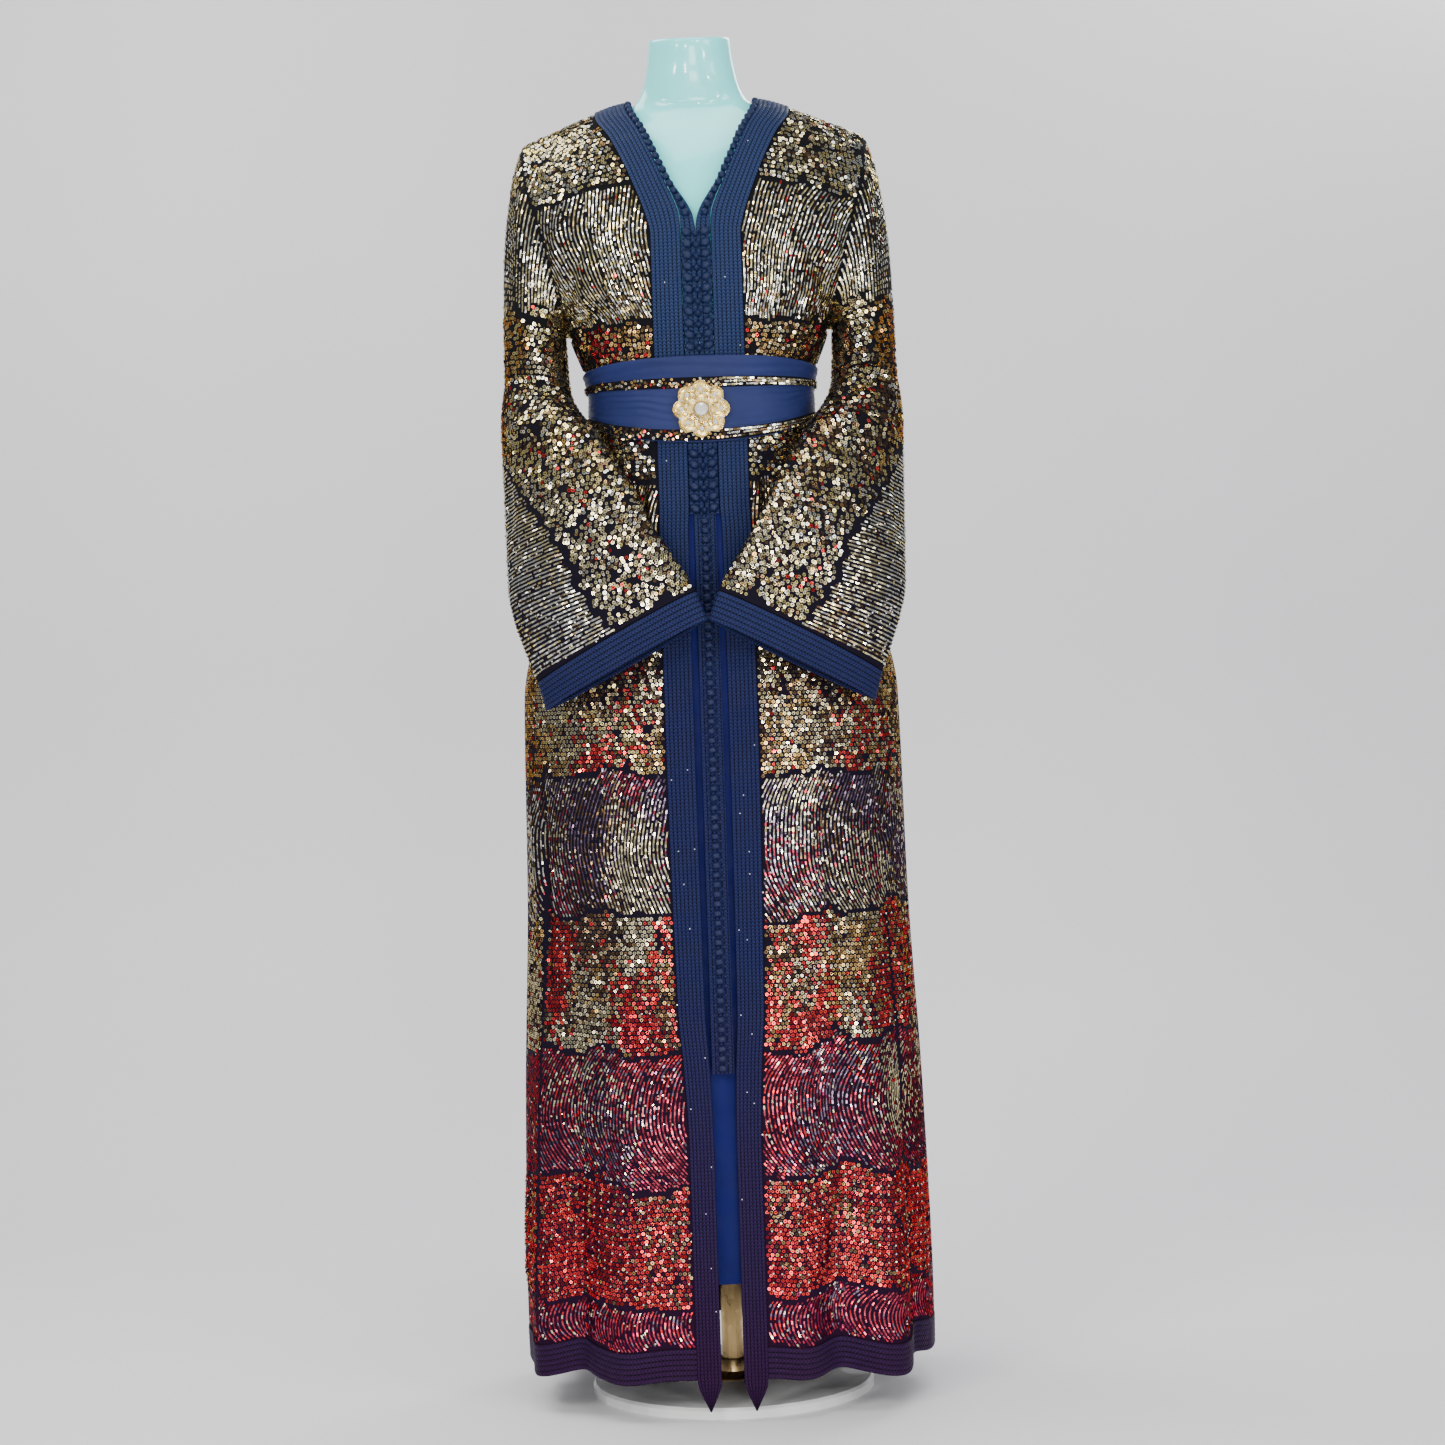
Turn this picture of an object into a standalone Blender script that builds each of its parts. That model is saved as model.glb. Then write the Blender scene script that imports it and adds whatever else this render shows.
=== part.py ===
"""Moroccan kaftan with its belt, standing on a limbless dress form.

Metres, +Z up. The origin is the centre of the form's base plate, on its underside.
The kaftan faces -Y, and the wearer's left side is +X.

The cloth of the body lies on one surface, body_surface(angle, level). The angle
runs from centre front (0) over the wearer's left side (90 degrees) to centre back
(180 degrees), and the level is the height before the shoulders slope down.
Every panel, braid and belt is a wall made from points of that surface.
"""
from collections import namedtuple
from math import cos, hypot, pi, radians, sin

import bmesh
import bpy
import numpy as np

# Driving sizes of the cloth
CLOTH = 0.0018                 # wall of the sequined cloth
LINING_CLOTH = 0.0012          # wall of the blue inner layer
BRAID = 0.0015                 # wall of the flat braid
SEAM = 0.0003                  # gap between neighbouring pieces
ROUNDNESS = 2.3                # power of the body's rounded cross-section

SHOULDER_LEVEL = 1.508         # shoulder seam at the neck
SHOULDER_SLOPE = 0.42          # fall of the shoulder seam for each metre outward
NECK_EDGE = 0.085              # the shoulder starts to slope at this half-width
SLOPE_BLEND = 0.020            # width over which the slope sets in
SLOPE_AT_CENTRE = (hypot(NECK_EDGE, SLOPE_BLEND) - NECK_EDGE) / 2
SLOPE_START = 1.25             # below this level nothing follows the slope
ARMPIT = 1.235                 # lowest point of the armhole
CHEST = 1.300                  # above this level the chest curves in to the seam
FRONT_CURVE = 2.1              # power of the chest's curve
BACK_CURVE = 2.7               # power of the upper back's curve
HEM = 0.047                    # lower edge of the skirt
HEM_BRAID = 0.035              # height of the braid along the hem
HEM_SAG = 0.45                 # a fold that stands out also hangs lower by this share
FOLD_FEATHER = 1.25            # how quickly the folds grow toward the hem
FOLD_LEAN = 1.4                # folds lean toward the front and the back by this much

BodyRing = namedtuple("BodyRing", "level half_width front_depth back_depth")
BODY_RINGS = (
    BodyRing(0.000, 0.234, 0.178, 0.190),
    BodyRing(0.110, 0.236, 0.174, 0.186),
    BodyRing(0.345, 0.231, 0.160, 0.174),
    BodyRing(0.580, 0.221, 0.147, 0.160),
    BodyRing(0.810, 0.217, 0.135, 0.147),
    BodyRing(0.880, 0.204, 0.129, 0.141),
    BodyRing(0.960, 0.169, 0.120, 0.131),
    BodyRing(1.040, 0.142, 0.108, 0.114),
    BodyRing(1.110, 0.129, 0.098, 0.098),
    BodyRing(1.160, 0.127, 0.099, 0.092),
    BodyRing(1.235, 0.150, 0.114, 0.101),
    BodyRing(1.300, 0.165, 0.116, 0.108),
)

ArmholeRow = namedtuple("ArmholeRow", "level half_width angle")
ARMHOLE = (
    ArmholeRow(1.235, 0.150, 90.0),
    ArmholeRow(1.270, 0.160, 66.0),
    ArmholeRow(1.330, 0.172, 56.0),
    ArmholeRow(1.400, 0.186, 54.0),
    ArmholeRow(1.450, 0.196, 56.0),
    ArmholeRow(1.508, 0.200, 60.0),
)

Fold = namedtuple("Fold", "angle width size top")
FOLDS = (
    Fold(17.0, 6.0, 0.007, 0.62),
    Fold(29.0, 6.5, -0.010, 0.60),
    Fold(46.0, 10.0, 0.020, 0.66),
    Fold(63.0, 7.0, -0.008, 0.52),
    Fold(108.0, 9.0, -0.010, 0.60),
    Fold(125.0, 9.0, 0.017, 0.70),
    Fold(143.0, 8.0, -0.011, 0.64),
    Fold(161.0, 9.0, 0.018, 0.74),
    Fold(180.0, 8.0, -0.010, 0.68),
    Fold(198.0, 9.0, 0.016, 0.72),
    Fold(215.0, 8.0, -0.012, 0.62),
    Fold(234.0, 9.0, 0.018, 0.70),
    Fold(252.0, 8.0, -0.009, 0.58),
    Fold(299.0, 8.0, 0.013, 0.66),
    Fold(315.0, 6.5, -0.011, 0.76),
    Fold(334.0, 8.0, 0.010, 0.64),
)

# Front edges, from the hem up: the edge of the front panel, the outer edge of the
# braid on it and the inner edge of the row of knots beside it
FrontRow = namedtuple("FrontRow", "level panel_edge braid_edge knot_edge")
FRONT_EDGES = (
    FrontRow(0.012, 0.0245, 0.0262, 0.0002),
    FrontRow(0.047, 0.0125, 0.0395, 0.0002),
    FrontRow(0.300, 0.0125, 0.0400, 0.0002),
    FrontRow(0.385, 0.0145, 0.0430, 0.0002),
    FrontRow(0.460, 0.0180, 0.0480, 0.0002),
    FrontRow(0.800, 0.0195, 0.0520, 0.0002),
    FrontRow(0.990, 0.0190, 0.0520, 0.0002),
    FrontRow(1.030, 0.0172, 0.0510, 0.0002),
    FrontRow(1.335, 0.0172, 0.0510, 0.0002),
    FrontRow(1.352, 0.0180, 0.0545, 0.0020),
    FrontRow(1.400, 0.0350, 0.0710, 0.0275),
    FrontRow(1.460, 0.0605, 0.0955, 0.0530),
    FrontRow(1.497, 0.0772, 0.1122, 0.0697),
    FrontRow(1.508, 0.0780, 0.1130, 0.0705),
)
TAB_LEVELS = (0.012, 0.030)    # the braids end in a point below the hem
SLIT_TOP = 0.385               # the fronts are open below this level
STRIP_TOP = 1.015              # the double row of knots ends here, a single strip starts
STRIP_HALF_WIDTH = 0.0125

# Rows of the body panels below the armhole
SKIRT_LEVELS = (HEM, HEM + HEM_BRAID, 0.15, 0.24, 0.33, 0.385, 0.47, 0.56, 0.65, 0.74, 0.82,
                0.88, 0.93, 0.975, 1.015, 1.05, 1.085, 1.11, 1.135, 1.16, 1.185, 1.21)
ARMHOLE_ROWS = 8               # rows from the armpit to the shoulder seam
BRAID_COLUMNS = 2              # panel columns that lie under the front braid
FRONT_COLUMNS = 11             # panel columns from the braid to the side seam
BACK_COLUMNS = 22

BACK_NECK_HALF_WIDTH = 0.078
BACK_NECK_DEPTH = 0.068        # measured down the cloth from the seam line
NECK_BRAID_WIDTH = 0.034
NECK_BRAID_LIFT = 0.0010
NECK_BRAID_COLUMNS = 16
PROFILE_STEPS = 80

SleeveRing = namedtuple(
    "SleeveRing", "station inner_x inner_y inner_z outer_x outer_y outer_z half_depth")
SLEEVE_RINGS = (
    SleeveRing(1.0, 0.1565, -0.006, 1.237, 0.2280, -0.006, 1.270, 0.058),
    SleeveRing(2.0, 0.1530, -0.014, 1.172, 0.2290, -0.010, 1.180, 0.056),
    SleeveRing(3.0, 0.1230, -0.098, 1.115, 0.2280, -0.022, 1.100, 0.040),
    SleeveRing(4.0, 0.0880, -0.134, 1.060, 0.2275, -0.052, 1.020, 0.035),
    SleeveRing(5.0, 0.0530, -0.164, 0.990, 0.2250, -0.094, 0.930, 0.029),
    SleeveRing(6.0, 0.0130, -0.182, 0.925, 0.1950, -0.117, 0.830, 0.022),
    SleeveRing(7.0, 0.0012, -0.186, 0.893, 0.1860, -0.121, 0.798, 0.019),
)
HEAD_STATION = 1.0             # the sleeve head ends and the tube of the sleeve starts
AXIS_STEP = 0.05               # stations over which the sleeve's own direction is read
CUFF_STATION = 6.0
CUFF_GAP = 0.017               # the seam before the cuff, in stations
EDGE_STATION = 7.0
HEAD_STEP = 0.3                # stretch of sleeve that gives the head its direction
HEAD_FULLNESS = 1.45           # how far the sleeve head stands out over the shoulder
SLEEVE_ROWS = (0.0, 0.3, 0.65, 1.0, 1.6, 2.1, 2.5, 2.8, 3.2, 3.8, 4.5, 5.2, 6.0)
CUFF_WALL = 0.0024
ARMHOLE_CENTRE = (0.190, 0.0, 1.350)
ARMHOLE_GAP = 0.00055          # toward the armhole's centre, so 0.2 to 0.5 mm from the panels

LINING_TOP = 1.170
LINING_HEM = 0.150
LINING_FOLD_SHARE = 0.30       # its folds are this much of the outer skirt's
LINING_COLUMNS = 28
LiningRow = namedtuple("LiningRow", "level inset")
LINING_INSET = (
    LiningRow(0.150, 0.0150),
    LiningRow(0.500, 0.0100),
    LiningRow(0.800, 0.0060),
    LiningRow(1.000, 0.0038),
    LiningRow(1.170, 0.0034),
)
LINING_LEVELS = (LINING_HEM, 0.28, 0.42, 0.56, 0.70, 0.82, 0.90, 0.96, 1.01, 1.05, 1.09, 1.13,
                 LINING_TOP)

BELT_LOW_SIDE = 1.130
BELT_LOW_FRONT = 1.098
BELT_HIGH_SIDE = 1.190
BELT_HIGH_FRONT = 1.197
BELT_FRONT_POWER = 1.5         # how fast the belt narrows from the front to the sides
BELT_LIFT = 0.0029             # clears the panel and the braid under it
BELT_WALL = 0.0026
BELT_COLUMNS = 40
BELT_ROWS = 5
BELT_TRIM_WALL = 0.0014
TRIM_GAP = 0.00075             # the strips have fewer corners than the belt under them
BELT_LOWER_TRIM = (0.010, 0.145)   # share of the belt's height
BELT_UPPER_TRIM = (0.625, 0.755)

BUCKLE_LEVEL = 1.135
BUCKLE_RADIUS = 0.0325
BUCKLE_PETALS = 8
BUCKLE_PETAL_DEPTH = 0.0055
BUCKLE_WALL = 0.0030
BuckleRow = namedtuple("BuckleRow", "share relief")
BUCKLE_ROWS = (                # from the hole for the stone out to the petals' tips
    BuckleRow(0.00, 0.0000),
    BuckleRow(0.40, 0.0016),
    BuckleRow(0.80, 0.0012),
    BuckleRow(1.00, 0.0000),
)
STONE_RADIUS = 0.0085
STONE_HEIGHT = 0.0060
STONE_TABLE = 0.16             # radius of the stone's flat top, as a share
STONE_ROWS = (0.0, 0.35, 0.70, 1.0)

KNOT_HEIGHT = 0.0022
KNOT_BASE = 0.0010
KNOT_GAP = 0.00075             # beside the braid, whose edge is cut in straight lengths
BELT_CLEARANCE = 0.003         # no knots stand up under the belt
NECK_KNOTS_START = 1.348
DOUBLE_KNOT_PITCH = 0.0137
NECK_KNOT_PITCH = 0.0100
STRIP_KNOT_PITCH = 0.0120

FormRing = namedtuple("FormRing", "height half_width front back centre_y roundness")
FORM_RINGS = (
    FormRing(0.780, 0.150, 0.088, 0.100, 0.004, 2.2),
    FormRing(0.870, 0.168, 0.106, 0.118, 0.004, 2.2),
    FormRing(0.940, 0.150, 0.103, 0.112, 0.002, 2.2),
    FormRing(1.020, 0.128, 0.092, 0.098, 0.000, 2.2),
    FormRing(1.130, 0.114, 0.084, 0.080, 0.000, 2.2),
    FormRing(1.240, 0.138, 0.102, 0.090, 0.000, 2.2),
    FormRing(1.310, 0.152, 0.105, 0.100, 0.000, 2.2),
    FormRing(1.370, 0.160, 0.094, 0.100, 0.000, 2.1),
    FormRing(1.410, 0.166, 0.082, 0.097, 0.000, 2.0),
    FormRing(1.440, 0.166, 0.071, 0.089, 0.000, 2.0),
    FormRing(1.458, 0.160, 0.063, 0.081, 0.000, 2.0),
    FormRing(1.472, 0.142, 0.055, 0.071, 0.000, 1.9),
    FormRing(1.485, 0.112, 0.046, 0.058, 0.000, 1.9),
    FormRing(1.497, 0.080, 0.041, 0.047, 0.000, 2.0),
    FormRing(1.510, 0.063, 0.044, 0.044, -0.003, 2.0),
    FormRing(1.530, 0.055, 0.048, 0.046, -0.007, 2.0),
    FormRing(1.560, 0.050, 0.048, 0.047, -0.013, 2.0),
    FormRing(1.582, 0.048, 0.047, 0.047, -0.018, 2.0),
)
FORM_COLUMNS = 24
FORM_TOP_TILT = 0.21           # the cut of the neck falls toward the front
FORM_TILT_START = 1.53         # the neck's rings start to tilt here
ROUND_SIDES = 16               # sides of the pole and the stone
BASE_SIDES = 40
POLE_RADIUS = 0.0125
POLE_TOP = 0.7797
BASE_RADIUS = 0.165
BASE_HEIGHT = 0.012
BASE_EDGE = 0.003

EPSILON = 1e-4


def smooth(rows, column, at):
    """Read one column of a table, whose first column rises, on a curve through its rows."""
    keys = np.array([row[0] for row in rows])
    values = np.array([getattr(row, column) for row in rows])
    steps = np.diff(keys)
    slopes = np.diff(values) / steps
    tangents = np.empty(len(keys))
    tangents[0], tangents[-1] = slopes[0], slopes[-1]
    before, after = slopes[:-1], slopes[1:]
    same_way = before * after > 0
    safe_before = np.where(same_way, before, 1.0)
    safe_after = np.where(same_way, after, 1.0)
    tangents[1:-1] = np.where(same_way, 2 / (1 / safe_before + 1 / safe_after), 0.0)
    at = np.clip(at, keys[0], keys[-1])
    index = np.clip(np.searchsorted(keys, at, side="right") - 1, 0, len(keys) - 2)
    step = steps[index]
    t = (at - keys[index]) / step
    return (values[index] * (1 + 2 * t) * (1 - t) ** 2 + tangents[index] * step * t * (1 - t) ** 2
            + values[index + 1] * t * t * (3 - 2 * t) - tangents[index + 1] * step * t * t * (1 - t))


def smooth_step(value):
    """Rise from 0 to 1 with level ends."""
    value = np.clip(value, 0.0, 1.0)
    return value * value * (3 - 2 * value)


def unit(vectors):
    """Scale vectors to length 1."""
    return vectors / np.linalg.norm(vectors, axis=-1, keepdims=True)


def half_width_at(level):
    """Half-width of the body surface's whole cross-section, also where sleeves take over."""
    edge = smooth(ARMHOLE, "half_width", level)
    angle = np.radians(smooth(ARMHOLE, "angle", level))
    above = edge / np.sin(angle) ** (2 / ROUNDNESS)
    return np.where(level > ARMPIT, above, smooth(BODY_RINGS, "half_width", level))


def curve_in(level, power):
    """Share of the depth that is left above the chest, 0 at the shoulder seam."""
    rise = np.clip((level - CHEST) / (SHOULDER_LEVEL - CHEST), 0.0, 1.0)
    return (1 - rise ** power) ** (1 / power)


def fold_depth(angle, level):
    """How far the skirt's hanging folds stand out from its plain form."""
    total = np.zeros(np.broadcast(angle, level).shape)
    for fold in FOLDS:
        turn = (angle - radians(fold.angle) + pi) % (2 * pi) - pi
        growth = smooth_step((fold.top - level) / (fold.top - HEM)) ** FOLD_FEATHER
        total = total + fold.size * np.exp(-(turn / radians(fold.width)) ** 2) * growth
    return total


def body_surface(angle, level, fold_share=1.0):
    """Points on the outer side of the kaftan's body, shape (..., 3)."""
    angle, level = np.broadcast_arrays(np.asarray(angle, float), np.asarray(level, float))
    power = 2 / ROUNDNESS
    sine, cosine = np.sin(angle), np.cos(angle)
    front = smooth(BODY_RINGS, "front_depth", level) * curve_in(level, FRONT_CURVE)
    back = smooth(BODY_RINGS, "back_depth", level) * curve_in(level, BACK_CURVE)
    x = half_width_at(level) * np.sign(sine) * np.abs(sine) ** power
    y = -np.where(cosine > 0, front, back) * np.sign(cosine) * np.abs(cosine) ** power
    fold = fold_share * fold_depth(angle, level)
    out_x, out_y = x, FOLD_LEAN * y
    length = np.hypot(out_x, out_y) + EPSILON
    past_neck = np.abs(x) - NECK_EDGE
    slope = (past_neck + np.hypot(past_neck, SLOPE_BLEND)) / 2 - SLOPE_AT_CENTRE
    share = smooth_step((level - SLOPE_START) / (SHOULDER_LEVEL - SLOPE_START))
    z = level - share * SHOULDER_SLOPE * slope - HEM_SAG * fold
    return np.stack([x + fold * out_x / length, y + fold * out_y / length, z], axis=-1)


def body_normal(angle, level, fold_share=1.0):
    """Unit vectors out of the body surface."""
    top = np.minimum(np.asarray(level, float) + EPSILON, SHOULDER_LEVEL)
    along = (body_surface(angle + EPSILON, level, fold_share)
             - body_surface(angle - EPSILON, level, fold_share))
    up = body_surface(angle, top, fold_share) - body_surface(angle, top - 2 * EPSILON, fold_share)
    return unit(np.cross(along, up))


def angle_at(half_width, level):
    """Angle at which the front surface has the given half-width at a level."""
    share = np.clip(half_width / half_width_at(level), 0.0, 1.0)
    return np.arcsin(share ** (ROUNDNESS / 2))


def armhole_level(share):
    """Level on the armhole, from the armpit (0) to the shoulder seam (1)."""
    return ARMPIT + (SHOULDER_LEVEL - ARMPIT) * (1 - np.cos(pi * share)) / 2


def side_angle(level):
    """Angle of a panel's outer edge: the side seam, or the armhole above it."""
    return np.where(level > ARMPIT, np.radians(smooth(ARMHOLE, "angle", level)), pi / 2)


def panel_levels():
    """All rows of a body panel, from the hem to the shoulder seam."""
    upper = armhole_level(np.arange(ARMHOLE_ROWS + 1) / ARMHOLE_ROWS)
    return np.concatenate([np.array(SKIRT_LEVELS), upper])


def front_angles(levels):
    """Angles of the front panel's columns at each row, the first ones under the braid."""
    edge = angle_at(smooth(FRONT_EDGES, "panel_edge", levels), levels)
    braid = angle_at(smooth(FRONT_EDGES, "braid_edge", levels), levels)
    inner = [edge + (braid - edge) * i / BRAID_COLUMNS for i in range(BRAID_COLUMNS)]
    span = side_angle(levels) - braid
    outer = [braid + span * i / FRONT_COLUMNS for i in range(FRONT_COLUMNS + 1)]
    return np.stack(inner + outer, axis=1)


def flatten(points, normals, edge, offset):
    """Keep a seam edge in the seam's own upright plane, a little to one side of it."""
    normals[edge + (1,)] = 0.0
    points[edge + (1,)] = offset


def back_profile():
    """Distance down the cloth of the upper back from the shoulder seam, with its levels."""
    shares = np.linspace(0.0, 1.0, PROFILE_STEPS)
    levels = SHOULDER_LEVEL - (SHOULDER_LEVEL - CHEST) * shares ** 2
    points = body_surface(pi, levels)
    steps = np.linalg.norm(np.diff(points, axis=0), axis=1)
    return np.concatenate([[0.0], np.cumsum(steps)]), levels


def back_neck_level(half_width, neck_half_width, neck_depth):
    """Level of a round neckline on the back at a half-width."""
    distances, levels = back_profile()
    share = np.clip(np.abs(half_width) / neck_half_width, 0.0, 1.0)
    return np.interp(neck_depth * np.sqrt(1 - share ** 2), distances, levels)


def back_grid():
    """Points and normals of the back, from the wearer's left side to the right."""
    levels = panel_levels()
    across = np.linspace(-1.0, 1.0, BACK_COLUMNS + 1)
    half = side_angle(levels)[:, None]
    angles = pi + across[None, :] * half
    top_x = body_surface(angles[-1], levels[-1])[:, 0]
    top = back_neck_level(top_x, BACK_NECK_HALF_WIDTH, BACK_NECK_DEPTH)
    share = np.clip((levels - CHEST) / (SHOULDER_LEVEL - CHEST), 0.0, 1.0)[:, None]
    rows = levels[:, None] + share * (top - SHOULDER_LEVEL)[None, :]
    points, normals = body_surface(angles, rows), body_normal(angles, rows)
    on_seam = top > SHOULDER_LEVEL - EPSILON
    below = levels <= ARMPIT
    for edge in ((-1, on_seam), (below, 0), (below, -1)):
        flatten(points, normals, edge, SEAM / 2)
    return points, unit(normals)


def sleeve_ring(station, turn):
    """Points on the wearer's left sleeve, below its head. Turn 0 is the inner edge."""
    def column(name, at):
        return smooth(SLEEVE_RINGS, name, at)

    def point(end, at):
        return np.stack([column(end + axis, at) for axis in ("_x", "_y", "_z")], axis=-1)

    station = np.asarray(station, float)
    inner, outer = point("inner", station), point("outer", station)
    ahead = point("inner", station + AXIS_STEP) + point("outer", station + AXIS_STEP)
    behind = point("inner", station - AXIS_STEP) + point("outer", station - AXIS_STEP)
    half = (outer - inner) / 2
    forward = unit(np.cross(ahead - behind, half))
    depth = column("half_depth", station)[..., None]
    turn = np.asarray(turn, float)[..., None]
    return (inner + outer) / 2 - half * np.cos(turn) + forward * depth * np.sin(turn)


def armhole_points(turn):
    """Points and body normals round the armhole, from the armpit over the front."""
    share = np.where(turn <= pi, turn, 2 * pi - turn) / pi
    level = armhole_level(share)
    angle = side_angle(level)
    angle = np.where(turn <= pi, angle, pi - angle)
    points, normals = body_surface(angle, level), body_normal(angle, level)
    seam = np.abs(turn - pi) < EPSILON
    normals[seam, 1] = 0.0
    inward = unit(np.array(ARMHOLE_CENTRE) - points)
    return points + inward * ARMHOLE_GAP, unit(normals)


def sleeve_surface(station, turn):
    """Points on the whole sleeve: a rounded head from the armhole, then the tube."""
    station, turn = np.broadcast_arrays(np.asarray(station, float), np.asarray(turn, float))
    share = np.clip(station / HEAD_STATION, 0.0, 1.0)[..., None]
    start = armhole_points(turn.ravel())[0].reshape(turn.shape + (3,))
    head = sleeve_ring(np.full(turn.shape, HEAD_STATION), turn)
    below = sleeve_ring(np.full(turn.shape, HEAD_STATION + HEAD_STEP), turn)
    run = (below - head) / HEAD_STEP
    control = head - run * HEAD_FULLNESS * np.sin(turn / 2)[..., None] ** 2
    capped = start * (1 - share) ** 2 + 2 * control * share * (1 - share) + head * share ** 2
    tube = sleeve_ring(np.maximum(station, HEAD_STATION), turn)
    return np.where(station[..., None] < HEAD_STATION, capped, tube)


def sleeve_grid(stations, columns):
    """Outer points and normals of a length of sleeve, one row for each station."""
    turn = np.arange(columns) * 2 * pi / columns
    stations = np.array(stations)[:, None]
    points = sleeve_surface(stations, turn[None, :])
    around = np.roll(points, -1, axis=1) - np.roll(points, 1, axis=1)
    along = np.gradient(points, axis=0)
    normals = unit(np.cross(along, around))
    if stations[0] == 0.0:
        share = np.sin(turn / 2)[:, None] ** 2
        normals[0] = unit(share * armhole_points(turn)[1] + (1 - share) * normals[0])
    return points, normals


def belt_level(angle, share):
    """Level on the belt at a share of its height, deeper in front."""
    front = np.maximum(np.cos(angle), 0.0) ** BELT_FRONT_POWER
    low = BELT_LOW_SIDE + (BELT_LOW_FRONT - BELT_LOW_SIDE) * front
    high = BELT_HIGH_SIDE + (BELT_HIGH_FRONT - BELT_HIGH_SIDE) * front
    return low + (high - low) * share


def wall(name, outer, inner, material, around=False):
    """Make a closed wall from two grids of points and add it to the scene."""
    mesh = bmesh.new()
    rows, columns = outer.shape[:2]
    out = [[mesh.verts.new(point) for point in row] for row in outer]
    back = [[mesh.verts.new(point) for point in row] for row in inner]
    last = columns if around else columns - 1
    for row in range(rows - 1):
        for column in range(last):
            after = (column + 1) % columns
            start, end = (row, column), (row + 1, after)
            for corner in ((row, after), (row + 1, column)):
                mesh.faces.new([out[i][j] for i, j in (start, corner, end)])
                mesh.faces.new([back[i][j] for i, j in (start, corner, end)])
    for row in (0, rows - 1):
        for column in range(last):
            after = (column + 1) % columns
            mesh.faces.new((out[row][column], out[row][after], back[row][after], back[row][column]))
    if not around:
        for column in (0, columns - 1):
            for row in range(rows - 1):
                mesh.faces.new((out[row][column], out[row + 1][column],
                                back[row + 1][column], back[row][column]))
    return add_mesh(name, mesh, material)


def add_mesh(name, mesh, material):
    """Turn a bmesh into a named object with outward faces and its material."""
    bmesh.ops.recalc_face_normals(mesh, faces=mesh.faces)
    if mesh.calc_volume(signed=True) < 0:
        bmesh.ops.reverse_faces(mesh, faces=mesh.faces)
    data = bpy.data.meshes.new(name)
    mesh.to_mesh(data)
    mesh.free()
    data.shade_smooth()
    data.set_sharp_from_angle(angle=radians(40))
    data.materials.append(material)
    piece = bpy.data.objects.new(name, data)
    bpy.context.scene.collection.objects.link(piece)
    return piece


def mirrored(grid):
    """Mirror points or vectors to the wearer's right side."""
    return grid * np.array([-1.0, 1.0, 1.0])


def for_both_sides(name, outer, inner, material, around=False):
    """Make a wall for the wearer's left side and its mirror image for the right."""
    wall(name + "_left", outer, inner, material, around)
    wall(name + "_right", mirrored(outer), mirrored(inner), material, around)


def front_panels(material):
    """The two fronts, each cut separately so that the folds can differ."""
    for name, side in (("front_left", 1.0), ("front_right", -1.0)):
        points, normals = side_grid(side)
        wall(name, points, points - normals * CLOTH, material)


def side_grid(side, first=0, last=None):
    """Points and normals of one front, left for side 1 and right for side -1."""
    levels = panel_levels()
    angles = side * front_angles(levels)
    rows = levels[:, None] + 0.0 * angles
    points, normals = body_surface(angles, rows), body_normal(angles, rows)
    below = levels <= ARMPIT
    for edge in ((-1, slice(None)), (below, -1)):
        flatten(points, normals, edge, -SEAM / 2)
    return points[:, first:last], unit(normals)[:, first:last]


def back_panel(material):
    """The back, with the neckline cut round."""
    points, normals = back_grid()
    wall("back", points, points - normals * CLOTH, material)


def raised(points, normals, wall_thickness, lift=SEAM):
    """Outer and inner points of a band that lies on a panel."""
    return points + normals * (lift + wall_thickness), points + normals * lift


def front_braids(material):
    """The braids down both fronts, each ending in a pointed tab below the hem."""
    tab = np.array(TAB_LEVELS)
    for name, side in (("sfifa_left", 1.0), ("sfifa_right", -1.0)):
        points, normals = side_grid(side, last=BRAID_COLUMNS + 1)
        angles = side * front_angles(tab)[:, :BRAID_COLUMNS + 1]
        rows = tab[:, None] + 0.0 * angles
        below = body_surface(angles, rows)
        points = np.concatenate([below, points])
        normals = np.concatenate([body_normal(angles, rows), normals])
        outer, inner = raised(points, normals, BRAID)
        wall(name, outer, inner, material)


def back_neck_braid(material):
    """The braid round the back of the neck, from shoulder seam to shoulder seam."""
    angles = np.linspace(0.0, pi, NECK_BRAID_COLUMNS + 1)
    across = np.array([0.0, 0.5, 1.0])[:, None] * NECK_BRAID_WIDTH
    half_width = (BACK_NECK_HALF_WIDTH + across) * np.cos(angles)[None, :]
    depth = (BACK_NECK_DEPTH + across) * np.sin(angles)[None, :]
    distances, profile = back_profile()
    levels = np.interp(depth, distances, profile)
    turn = pi - np.sign(half_width) * angle_at(np.abs(half_width), levels)
    points, normals = body_surface(turn, levels), body_normal(turn, levels)
    for column in (0, -1):
        flatten(points, normals, (slice(None), column), SEAM / 2)
    outer, inner = raised(points, unit(normals), BRAID, NECK_BRAID_LIFT)
    wall("sfifa_back_neck", outer, inner, material)


def hem_braids(material):
    """The braid along the hem, on each front and on the back."""
    for name, side in (("hem_left", 1.0), ("hem_right", -1.0)):
        points, normals = side_grid(side, first=BRAID_COLUMNS)
        points, normals = points[:2].copy(), normals[:2]
        gap = unit(points[:, 1] - points[:, 0]) * SEAM
        points[:, 0] += gap
        outer, inner = raised(points, normals, BRAID)
        wall(name, outer, inner, material)
    points, normals = back_grid()
    outer, inner = raised(points[:2], normals[:2], BRAID)
    wall("hem_back", outer, inner, material)


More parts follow.
